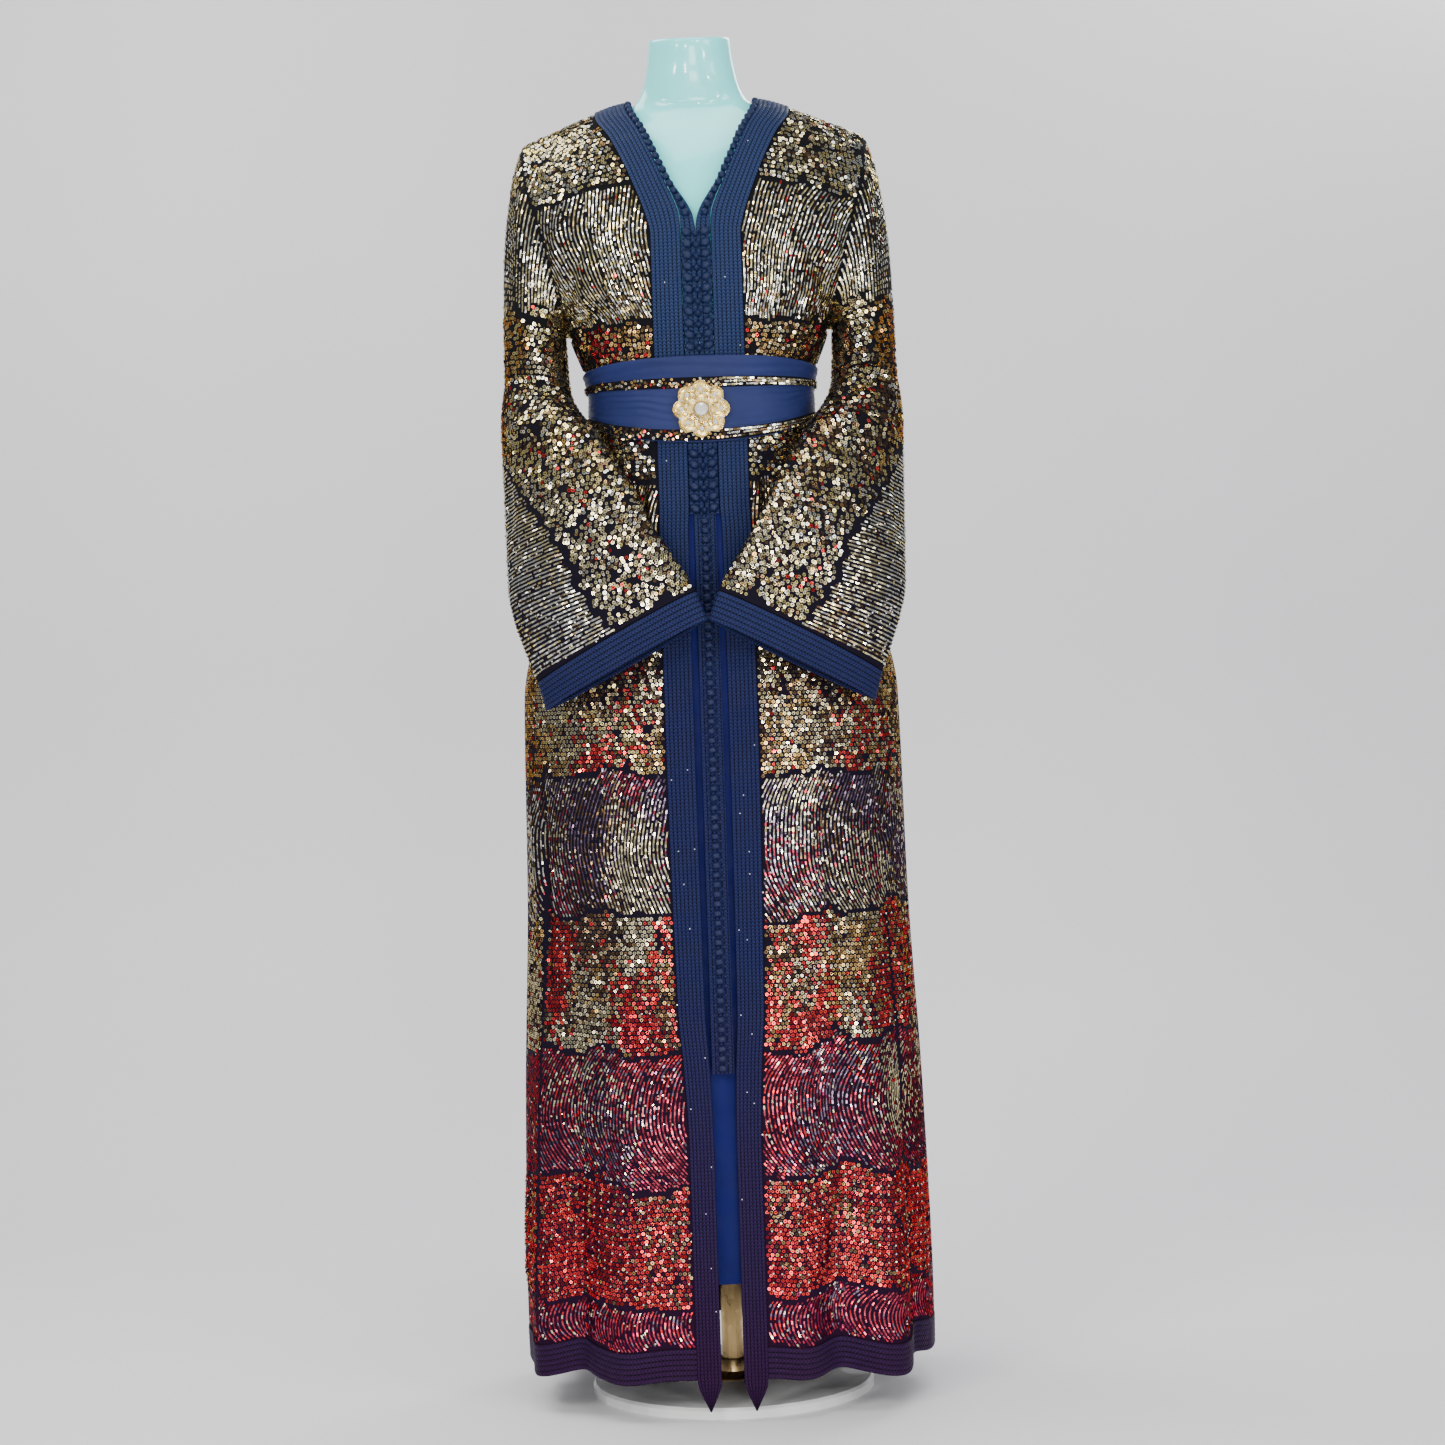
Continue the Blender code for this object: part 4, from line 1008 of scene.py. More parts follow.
class SequinWork:
    """The sequins and beads sewn on one piece of cloth.

    Args:
        seed: number that fixes their places and colours.
    """

    RING_RADIUS = 0.00208
    HOLE_SHARE = 0.46
    HOLE_LIFT = 0.0002
    DASH = (0.0037, 0.0017)
    BEAD_RADIUS = 0.0010
    BEAD_LIFT = 0.0006
    BEAD_ASIDE = (0.0025, 0.0024)
    LIFT = 0.0008
    HEXAGON = ((0, 1, 2, 3), (0, 3, 4, 5))

    def __init__(self, seed: int) -> None:
        self.rng = np.random.default_rng(seed)
        self.palette = Palette(seed)
        self.gaps = SmoothNoise(seed + 1, 0.011)
        self.parts = MeshParts()

    def frames(self, places: Places, tilt: float) -> tuple[Array, Array, Array]:
        """Turn each place a little at random.

        Args:
            places: the places.
            tilt: how far they turn.

        Returns:
            The ways out, along and across.
        """
        out = unit(places.normals + tilt * self.rng.normal(size=places.normals.shape))
        forward = unit(places.along - out * (places.along * out).sum(axis=-1, keepdims=True))
        return out, forward, np.cross(out, forward)

    def hexagons(self, points: Array, frames: tuple[Array, Array, Array], radius: Array,
                 lift: float) -> Array:
        """Corners of small hexagons.

        Args:
            points: their places on the cloth.
            frames: the ways out, along and across at each.
            radius: radius of each.
            lift: how far they lie above the cloth.

        Returns:
            The corners, shape (n, 6, 3).
        """
        out, forward, across = frames
        turn = (np.arange(6) * pi / 3)[None, :] + self.rng.random((len(points), 1)) * pi
        return ((points + out * lift)[:, None]
                + radius[:, None, None] * (forward[:, None] * np.cos(turn)[..., None]
                                           + across[:, None] * np.sin(turn)[..., None]))

    def rings(self, places: Places, tones: Array, scale: float) -> None:
        """Sew flat sequins with a dark hole.

        Args:
            places: where they go.
            tones: their tones.
            scale: their size against a common one.
        """
        frames = out, forward, across = self.frames(places, 0.17)
        count = len(tones)
        radius = self.RING_RADIUS * scale * self.rng.normal(1.0, 0.07, count).clip(0.8, 1.2)
        disc = self.hexagons(places.points, frames, radius, self.LIFT)
        hole = radius[:, None] * self.HOLE_SHARE
        middle = places.points + out * (self.LIFT + self.HOLE_LIFT)
        square = np.stack([middle + forward * hole, middle + across * hole,
                           middle - forward * hole, middle - across * hole], axis=1)
        slots = np.stack([tones, tones, np.full(count, int(Tone.DARK))], axis=1)
        self.parts.add_copies(np.concatenate([disc, square], axis=1),
                              (*self.HEXAGON, (6, 7, 8, 9)), slots)

    def dashes(self, places: Places, tones: Array, scale: float) -> None:
        """Sew sequins on edge, so that they show as short strokes.

        Args:
            places: where they go.
            tones: their tones.
            scale: their size against a common one.
        """
        out, forward, across = self.frames(places, 0.15)
        size = scale * self.rng.normal(1.0, 0.10, (len(tones), 1)).clip(0.75, 1.3)
        centre = places.points + out * self.LIFT
        length, width = forward * self.DASH[0] / 2 * size, across * self.DASH[1] / 2 * size
        corners = np.stack([centre - length - width, centre + length - width,
                            centre + length + width, centre - length + width], axis=1)
        self.parts.add_copies(corners, ((0, 1, 2, 3),), tones)

    def beads(self, places: Places, tones: Array) -> None:
        """Sew small bright beads over the sequins, in the given tones."""
        frames = self.frames(places, 0.20)
        radius = np.full(len(tones), self.BEAD_RADIUS)
        corners = self.hexagons(places.points, frames, radius, self.LIFT + self.BEAD_LIFT)
        self.parts.add_copies(corners, self.HEXAGON, np.repeat(tones, 2))

    def sew(self, band: Band, places: Places, scale: float = 1.0,
            beads: Array | None = None) -> None:
        """Sew one band's sequins, with its gaps and beads.

        Args:
            band: the band.
            places: where its sequins may go.
            scale: their size against a common one.
            beads: whether a bead may be sewn beside each, if not all of them.
        """
        rings = band.stitch is Stitch.SCATTER
        if rings:
            keep = self.gaps.at(places.points) > 0.20 - 0.08 * band.order
        else:
            keep = self.rng.random(len(places.points)) > 0.05
        places = places.only(keep)
        tones = self.palette.pick(band, places.points)
        (self.rings if rings else self.dashes)(places, tones, scale)
        bright = self.rng.random(len(tones)) < band.beads
        if beads is not None:
            bright &= beads[keep]
        ahead = unit(places.along)
        ahead_by, aside_by = self.BEAD_ASIDE
        beside = places.points + ahead * ahead_by + np.cross(places.normals, ahead) * aside_by
        kinds = self.rng.choice([int(Tone.CHAMPAGNE), int(Tone.PEARL)], bright.sum())
        self.beads(places._replace(points=beside).only(bright), kinds)

    def piece(self, name: str, looks: Finishes) -> Piece:
        """Add the sequins to the frame as one piece."""
        return self.parts.piece(name, looks.sequins, "sequined_cloth", smooth=False)


class BodyPattern:
    """Layout of the embroidery on the body.

    Args:
        body: the kaftan's body.
        belt: the belt over it.
        seed: number that fixes the scallops.
    """

    GAP = 0.0026
    RING_PITCH = 0.0050
    RING_ROW = 0.0047
    LINE_PITCH = 0.0045
    DASH_STEP = 0.0035
    BELT_MARGIN = 0.005
    SIDE_MARGIN = 0.006
    SCALLOP = 0.013
    SCALLOPED = (0.1, 1.0)
    GAP_RADIUS = 0.21
    OVERRUN = 0.022

    def __init__(self, body: KaftanBody, belt: Belt, seed: int) -> None:
        self.body = body
        self.belt = belt
        self.bases = (BAND_FLOOR,) + tuple(band.top for band in BANDS)
        rng = np.random.default_rng(seed)
        self.offsets = rng.uniform(-0.009, 0.009, (len(CELL_EDGES), len(self.bases)))

    def edges(self, angle: Array) -> Array:
        """Band edges, scalloped from cell to cell. The last one lies out of reach, so that the
        shoulders' band runs up to its seam.

        Args:
            angle: angles round the body.

        Returns:
            The levels of each edge at those angles.
        """
        degrees = np.degrees(angle) % 360.0
        cell = np.searchsorted(CELL_EDGES, degrees, side="right") - 1
        low, high = np.array(CELL_EDGES)[cell], np.array(CELL_EDGES)[cell + 1]
        place = 2 * (degrees - low) / (high - low) - 1
        rows = []
        for index, base in enumerate(self.bases):
            wave = 0.0028 * np.sin(angle * 17 + 1.7 * index) + 0.0014 * np.sin(angle * 41 + index)
            scallop = self.offsets[cell, index] + self.SCALLOP * (place ** 2 - 0.4)
            scalloped = self.SCALLOPED[0] < base < self.SCALLOPED[1]
            rows.append(base + wave + scalloped * scallop)
        rows[-1] = np.full(angle.shape, 2 * self.body.shoulder_level)
        return np.stack(rows)

    def band_at(self, angle: Array, level: Array) -> Array:
        """Find the band at each place.

        Args:
            angle: angles of the places.
            level: their levels.

        Returns:
            Index of the band, or -1 in the dark breaks.
        """
        edges = self.edges(angle)
        index = (level > edges).sum(axis=0) - 1
        near = np.abs(level - edges).min(axis=0) < self.GAP
        index = np.where(near | (index >= len(BANDS)), -1, index)
        for gap in CELL_GAPS:
            inside = (level > gap.low) & (level < gap.high)
            off = np.abs(wrapped(angle - radians(gap.angle))) * self.GAP_RADIUS
            index = np.where(inside & (off < gap.half_width), -1, index)
        return index

    def under_belt(self, angle: Array, level: Array) -> Array:
        """Whether the belt hides a place."""
        return ((level > self.belt.level(angle, 0.0) + self.BELT_MARGIN)
                & (level < self.belt.level(angle, 1.0) - self.BELT_MARGIN))

    def metres_per_radian(self, angle: float, level: float) -> float:
        """Length of cloth for each radian round the body."""
        ends = self.body.surface(np.array([angle - 0.02, angle + 0.02]), level, creased=False)
        return float(np.linalg.norm(ends[1] - ends[0]) / 0.04)

    def ring_places(self, limits: Limits, meridian: float) -> tuple[Array, Array, Array]:
        """Rings in rows, evenly spaced along the cloth.

        Args:
            limits: function from a level to the panel's first and last angle there.
            meridian: angle at which the rows are spaced evenly.

        Returns:
            Angles, levels and whether a bead may be sewn beside each ring.
        """
        fine = self.body.shoulder_level - (self.body.shoulder_level - BAND_FLOOR) * (
            np.linspace(1.0, 0.0, 2400) ** 1.6)
        down = run_along(self.body.surface(meridian, fine, creased=False))
        levels = np.interp(np.arange(self.RING_ROW / 2, down[-1], self.RING_ROW), down, fine)
        angles, rows, beads = [], [], []
        for number, level in enumerate(levels):
            span = np.linspace(*limits(level), 220)
            run = run_along(self.body.surface(span, level))
            start = self.RING_PITCH * (0.5 if number % 2 else 1.0)
            row = np.interp(np.arange(start, run[-1] - 0.0015, self.RING_PITCH), run, span)
            angles.append(row)
            rows.append(np.full(row.shape, level))
            beads.append((np.arange(len(row)) % 2 == 0) & (number % 2 == 0))
        return np.concatenate(angles), np.concatenate(rows), np.concatenate(beads)

    def line_places(self, index: int, first: float, last: float) -> tuple[Array, Array]:
        """Lines of one band, cell by cell.

        Args:
            index: the band's index.
            first: the panel's smallest angle.
            last: the panel's largest angle.

        Returns:
            Grids of angles and levels, a column for each line, without a number outside a cell.
        """
        band, low, high = BANDS[index], self.bases[index], self.bases[index + 1]
        middle, half = (low + high) / 2, (high - low) / 2
        levels = np.arange(low - self.OVERRUN, high + self.OVERRUN, self.DASH_STEP)
        place = ((levels - middle) / half)[:, None]
        turns = []
        edges = np.radians(np.array(CELL_EDGES))
        for start, end in zip(edges, edges[1:]):
            if start > pi and first < 0:
                start, end = start - 2 * pi, end - 2 * pi
            if end < first or start > last:
                continue
            scale = self.metres_per_radian((start + end) / 2, middle)
            margin = (band.bend + 0.012) / scale
            base = np.arange(start - margin, end + margin, self.LINE_PITCH / scale)[None, :]
            wave = 0.0011 * np.sin(80 * levels + 3 * start)[:, None]
            turn = base + (band.bend * (place ** 2 - 0.25) + wave) / scale
            turns.append(np.where((turn >= start) & (turn < end), turn, np.nan))
        turn = np.concatenate(turns, axis=1)
        return turn, np.broadcast_to(levels[:, None], turn.shape).copy()

    def sew(self, work: SequinWork, limits: Limits, meridian: float, ends: tuple[float, float],
            hidden: Mask) -> None:
        """Sew the whole pattern on one panel.

        Args:
            work: where the sequins go.
            limits: function from a level to the panel's first and last angle there.
            meridian: angle at which the rows are spaced evenly.
            ends: the panel's smallest and largest angle.
            hidden: function that tells which places lie under a braid.
        """
        angle, level, beads = self.ring_places(limits, meridian)
        loose = 1 - np.array([band.order for band in BANDS])[self.band_at(angle, level)]
        angle = angle + work.rng.normal(size=angle.shape) * 0.0030 * (0.25 + loose)
        level = level + work.rng.normal(size=angle.shape) * 0.0006 * (0.25 + loose)
        index = self.band_at(angle, level)
        open_cloth = ~(hidden(angle, level) | self.under_belt(angle, level))
        for number, band in enumerate(BANDS):
            if band.stitch is Stitch.SCATTER:
                chosen = (index == number) & open_cloth
                turn, row = angle[chosen], level[chosen]
                points = self.body.surface(turn, row)
                ahead = self.body.surface(turn + 0.01, row) - points
                work.sew(band, Places(points, self.body.normal(turn, row), ahead),
                         beads=beads[chosen])
                continue
            turn, row = self.line_places(number, *ends)
            broken, turn = np.isnan(turn), np.nan_to_num(turn)
            points = self.body.surface(turn, row)
            ahead = np.gradient(points, axis=0)
            ahead[broken | np.roll(broken, 1, axis=0) | np.roll(broken, -1, axis=0)] = (0, 0, 1)
            sides = np.array([limits(value) for value in row[:, 0]])
            chosen = ~broken & (self.band_at(turn, row) == number)
            chosen &= (turn > sides[:, :1] + self.SIDE_MARGIN) & (turn < sides[:, 1:] - self.SIDE_MARGIN)
            chosen &= ~(hidden(turn, row) | self.under_belt(turn, row))
            normals = self.body.normal(turn[chosen], row[chosen])
            work.sew(band, Places(points[chosen], normals, ahead[chosen]))


class Zone(IntEnum):
    """Zones of the embroidery on a sleeve."""

    BREAK = -1
    SHOULDER = 0
    UPPER_LINES = 1
    LOWER_ARM = 2
    LOWER_LINES = 3
    GOLDEN = 4


class SleevePattern:
    """Layout of the embroidery on a sleeve."""

    RING_PITCH = 0.0053
    RING_ROW = 0.0050
    LINE_PITCH = 0.0044
    DASH_STEP = 0.0035
    SHOULDER = 1.400
    UPPER_LINES = 1.262
    GAP = 0.0024
    RADIUS = 0.055
    DIVIDE = ([2.6, 3.0, 4.0, 5.0, 6.0], [1.0, 0.87, 0.62, 0.51, 0.48])
    UPPER_COLUMNS = 62
    UPPER_END = 1.8
    SCALE = 1.08

    def __init__(self, sleeve: Sleeve) -> None:
        self.sleeve = sleeve

    def zone(self, station: Array, turn: Array, points: Array) -> Array:
        """Find the zone of each place.

        Args:
            station: stations of the places.
            turn: their turns.
            points: the places themselves.

        Returns:
            Numbers of the zones.
        """
        wave = 0.005 * np.sin(7 * turn + 1.0) + 0.003 * np.sin(15 * turn)
        height = points[..., 2] + wave
        turn = turn % (2 * pi)
        folded = np.minimum(turn, 2 * pi - turn)
        wobble = 0.04 * np.sin(5.0 * station) + 0.03 * np.sin(23.0 * station)
        past = (folded - pi * np.interp(station, *self.DIVIDE) - wobble) * self.RADIUS
        zone = np.where(past > 0, Zone.LOWER_LINES, Zone.LOWER_ARM)
        golden = (station > 1.0) & (station < 3.3) & (folded > 2.0 + 0.3 * np.sin(3 * station))
        zone = np.where(golden & (past < 0), Zone.GOLDEN, zone)
        upper = height > self.UPPER_LINES
        zone = np.where(upper, Zone.UPPER_LINES, zone)
        zone = np.where(height > self.SHOULDER, Zone.SHOULDER, zone)
        dark = np.abs(height - self.SHOULDER) < self.GAP
        dark |= np.abs(height - self.UPPER_LINES) < self.GAP
        dark |= (np.abs(past) < self.GAP) & ~upper & (station > self.DIVIDE[0][0])
        return np.where(dark, Zone.BREAK, zone)

    def station_rows(self, pitch: float) -> Array:
        """Stations at even distances down the sleeve's front."""
        fine = np.linspace(0.03, self.sleeve.cuff_station - 0.03, 900)
        down = run_along(self.sleeve.surface(fine, pi / 2))
        return np.interp(np.arange(pitch / 2, down[-1], pitch), down, fine)

    def around(self, station: float, pitch: float, start: float) -> Array:
        """Turns at even distances round the sleeve."""
        span = np.linspace(0.0, 2 * pi, 240)
        run = run_along(self.sleeve.surface(station, span))
        return np.interp(np.arange(start, run[-1], pitch), run, span)

    def fill(self, low: float, high: float, turn: Array, pitch: float) -> Surface:
        """Places between two rows, more of them where the rows spread round the elbow.

        Args:
            low: station of the first row.
            high: station of the next row.
            turn: turns of the first row's places.
            pitch: distance that the rows should have.

        Returns:
            Stations and turns of the first row's places and of those added after it.
        """
        ends = [self.sleeve.surface(station, turn) for station in (low, high)]
        count = np.round(np.linalg.norm(ends[1] - ends[0], axis=1) / pitch).clip(1, 3)
        stations, turns = [], []
        for step in range(3):
            chosen = count > step
            stations.append(low + (high - low) * step / count[chosen])
            turns.append(turn[chosen] + 0.04 * step)
        return np.concatenate(stations), np.concatenate(turns)

    def filled_rows(self, pitch: float, step: float, starts: tuple[float, float]) -> Surface:
        """Places in rows over the whole sleeve.

        Args:
            pitch: distance between the rows.
            step: distance between the places of a row.
            starts: where the even and the odd rows start.

        Returns:
            Stations and turns.
        """
        rows = self.station_rows(pitch)
        places = [self.fill(low, high, self.around(low, step, starts[number % 2]), pitch)
                  for number, (low, high) in enumerate(zip(rows, rows[1:]))]
        return tuple(np.concatenate(parts) for parts in zip(*places))

    def sew(self, work: SequinWork) -> None:
        """Sew the whole pattern on the sleeve."""
        station, turn = self.filled_rows(self.RING_ROW, self.RING_PITCH,
                                         (self.RING_PITCH * 0.5, self.RING_PITCH))
        station = station + work.rng.normal(size=station.shape) * 0.010
        turn = turn + work.rng.normal(size=turn.shape) * 0.012
        self.place(work, station, turn, {Zone.SHOULDER: UPPER_SLEEVE, Zone.LOWER_ARM: FOREARM,
                                         Zone.GOLDEN: GOLDEN_ARM})
        station, turn = self.filled_rows(self.LINE_PITCH, self.DASH_STEP, (0.0, 0.0))
        bow = 0.22 * ((turn - pi) / pi) ** 2
        station = np.clip(station + bow, 0.0, self.sleeve.cuff_station - 0.05)
        self.place(work, station, turn, {Zone.LOWER_LINES: SLEEVE_LINES})
        rows = self.station_rows(self.DASH_STEP)
        station, turn = (part.ravel() for part in np.meshgrid(
            rows[rows < self.UPPER_END], full_turn(self.UPPER_COLUMNS), indexing="ij"))
        turn = turn + 0.10 * np.sin(2.2 * station)
        self.place(work, station, turn, {Zone.UPPER_LINES: SLEEVE_LINES}, (0.02, 0.002))

    def place(self, work: SequinWork, station: Array, turn: Array, bands: dict[Zone, Band],
              ahead: tuple[float, float] = (0.0, 0.02)) -> None:
        """Sew the bands at those places that lie in their zones.

        Args:
            work: where the sequins go.
            station: stations of the places.
            turn: their turns.
            bands: the bands by zone.
            ahead: station and turn from a place to the next one along its line.
        """
        points = self.sleeve.surface(station, turn)
        zone = self.zone(station, turn, points)
        for number, band in bands.items():
            chosen = (zone == number) & (station > 0.02)
            here, at = station[chosen], turn[chosen]
            along = self.sleeve.surface(here + ahead[0], at + ahead[1]) - points[chosen]
            work.sew(band, Places(points[chosen], self.sleeve.normal(here, at), along), self.SCALE)


class Graph:
    """Adds linked nodes to one node tree."""

    def __init__(self, tree: bpy.types.NodeTree) -> None:
        self.tree = tree

    def feed(self, socket: Socket, value: Value) -> None:
        """Give a socket its input.

        Args:
            socket: the socket.
            value: a value to set on it, or another socket to link to it.
        """
        if isinstance(value, Socket):
            self.tree.links.new(value, socket)
        else:
            socket.default_value = value

    def node(self, kind: str, inputs: dict[str | int, Value] | None = None,
             **settings: str | bpy.types.NodeTree) -> bpy.types.Node:
        """Add a node.

        Args:
            kind: type of the node.
            inputs: values or sockets for its inputs.
            **settings: its other settings.

        Returns:
            The node.
        """
        made = self.tree.nodes.new(kind)
        for name, value in settings.items():
            setattr(made, name, value)
        for key, value in (inputs or {}).items():
            self.feed(made.inputs[key], value)
        return made

    def math(self, operation: str, first: Value, second: Value = 0.0) -> Socket:
        """Work out a sum, product or the like of two values."""
        return self.node("ShaderNodeMath", {0: first, 1: second}, operation=operation).outputs[0]

    def remap(self, value: Value, low: float, high: float, to_low: Value, to_high: Value) -> Socket:
        """Map a range of values onto another."""
        limits = {0: value, 1: low, 2: high, 3: to_low, 4: to_high}
        return self.node("ShaderNodeMapRange", limits).outputs[0]

    def blend(self, factor: Value, first: Value, second: Value, kind: str = "MIX") -> Socket:
        """Mix two colours."""
        return self.node("ShaderNodeMix", {0: factor, 6: first, 7: second}, data_type="RGBA",
                         blend_type=kind).outputs[2]

    def noise(self, scale: Value, detail: float = 3.0) -> Socket:
        """Noise over the object."""
        inputs = {"Vector": self.place(), "Scale": scale, "Detail": detail}
        return self.node("ShaderNodeTexNoise", inputs).outputs[0]

    def place(self, kind: str = "Object") -> Socket:
        """The object's own coordinates, or its normals."""
        return self.node("ShaderNodeTexCoord").outputs[kind]

    def split(self, vector: Socket) -> bpy.types.NodeOutputs:
        """The three numbers of a vector."""
        return self.node("ShaderNodeSeparateXYZ", {0: vector}).outputs

    def cloth_place(self) -> bpy.types.NodeOutputs:
        """Metres along and across the cloth."""
        return self.split(self.node("ShaderNodeUVMap", uv_map=UV_NAME).outputs[0])


class Effect(Graph):
    """A node group that several materials share.

    Args:
        name: the group's name.
        inputs: its inputs with their usual values.
        outputs: its outputs, which are numbers apart from Colour.
    """

    def __init__(self, name: str, inputs: dict[str, Value], outputs: Sequence[str]) -> None:
        super().__init__(bpy.data.node_groups.new(name, "ShaderNodeTree"))
        for title, value in inputs.items():
            kind = "NodeSocketFloat" if isinstance(value, float) else "NodeSocketColor"
            socket = self.tree.interface.new_socket(title, in_out="INPUT", socket_type=kind)
            socket.default_value = value
        for title in outputs:
            kind = "NodeSocketColor" if title == "Colour" else "NodeSocketFloat"
            self.tree.interface.new_socket(title, in_out="OUTPUT", socket_type=kind)
        self.given = self.node("NodeGroupInput").outputs
        self.result = self.node("NodeGroupOutput").inputs

    def place_in(self, graph: Graph, inputs: dict[str, Value]) -> bpy.types.NodeOutputs:
        """Place the effect in a material, with that material's values."""
        return graph.node("ShaderNodeGroup", inputs, node_tree=self.tree).outputs


def height_tint() -> Effect:
    """Make a dye that changes from the hem to the shoulders."""
    plain = (0.1, 0.1, 0.1, 1.0)
    effect = Effect("Height Tint", {"Hem": plain, "Middle": plain, "Top": plain}, ["Colour"])
    height = effect.split(effect.place())[2]
    shifted = effect.math("ADD", height, effect.remap(effect.noise(9.0), 0.0, 1.0, -0.08, 0.08))
    lower = effect.remap(shifted, 0.05, 0.50, 0.0, 1.0)
    upper = effect.remap(shifted, 0.80, 1.25, 0.0, 1.0)
    first = effect.blend(lower, effect.given["Hem"], effect.given["Middle"])
    effect.feed(effect.result["Colour"], effect.blend(upper, first, effect.given["Top"]))
    return effect


def herringbone() -> Effect:
    """Make a braid of several cords, each plaited in chevrons, with painted highlights on the strands'
    crests and painted shade in the grooves between the cords.
    """
    effect = Effect("Herringbone", {"Cord Width": 0.0048, "Pitch": 0.0040}, ["Shade", "Bump Height"])
    math, width = effect.math, effect.given["Cord Width"]
    along, across = effect.cloth_place()[:2]
    cord = math("FRACT", math("DIVIDE", along, width))
    side = math("MULTIPLY", math("ABSOLUTE", math("SUBTRACT", cord, 0.5)), 2.0)
    rise = math("MULTIPLY", side, math("MULTIPLY", width, 0.55))
    strand = math("FRACT", math("DIVIDE", math("ADD", across, rise), effect.given["Pitch"]))
    crest = math("SUBTRACT", 1.0, math("MULTIPLY", math(
        "ABSOLUTE", math("SUBTRACT", strand, 0.5)), 2.0))
    height = math("SUBTRACT", math("POWER", crest, 0.7), math("POWER", side, 5.0))
    effect.feed(effect.result["Bump Height"], height)
    # Painted light: the strands' crests are lighter and the grooves between cords darker, from the same
    # relief as the bump.
    effect.feed(effect.result["Shade"], effect.remap(height, -0.2, 1.0, 0.15, 4.2))
    return effect


def plain_weave() -> Effect:
    """Make a plain weave, with painted light: the threads' crests a little lighter and the hollows
    between them a little darker.
    """
    effect = Effect("Weave", {"Thread": 0.0011}, ["Shade", "Bump Height"])
    waves = [effect.math("SINE", effect.math("DIVIDE", effect.math("MULTIPLY", way, 2 * pi),
                                             effect.given["Thread"])) for way in effect.cloth_place()[:2]]
    height = effect.math("MULTIPLY", *waves)
    effect.feed(effect.result["Bump Height"], height)
    # Painted light and shade of the threads' relief, as a factor on the colour.
    effect.feed(effect.result["Shade"], effect.remap(height, -1.0, 1.0, 0.85, 1.10))
    return effect


def handling_wear() -> Effect:
    """Make an uneven polish from handling."""
    effect = Effect("Wear", {"Scale": 30.0, "Low": 0.3, "High": 0.5}, ["Roughness"])
    given = effect.given
    rough = effect.remap(effect.noise(given["Scale"], 4.0), 0.35, 0.65, given["Low"], given["High"])
    effect.feed(effect.result["Roughness"], rough)
    return effect


def settled_dust() -> Effect:
    """Make a little dust on faces that look up."""
    effect = Effect("Dust", {"Amount": 0.1}, ["Factor"])
    facing = effect.remap(effect.split(effect.place("Normal"))[2], 0.2, 1.0, 0.0, 1.0)
    noise = effect.remap(effect.noise(24.0, 5.0), 0.35, 0.75, 0.2, 1.0)
    amount = effect.math("MULTIPLY", effect.math("MULTIPLY", facing, noise), effect.given["Amount"])
    effect.feed(effect.result["Factor"], amount)
    return effect


class Effects:
    """The effects that the materials share."""

    def __init__(self) -> None:
        self.tint = height_tint()
        self.herringbone = herringbone()
        self.weave = plain_weave()
        self.wear = handling_wear()
        self.dust = settled_dust()


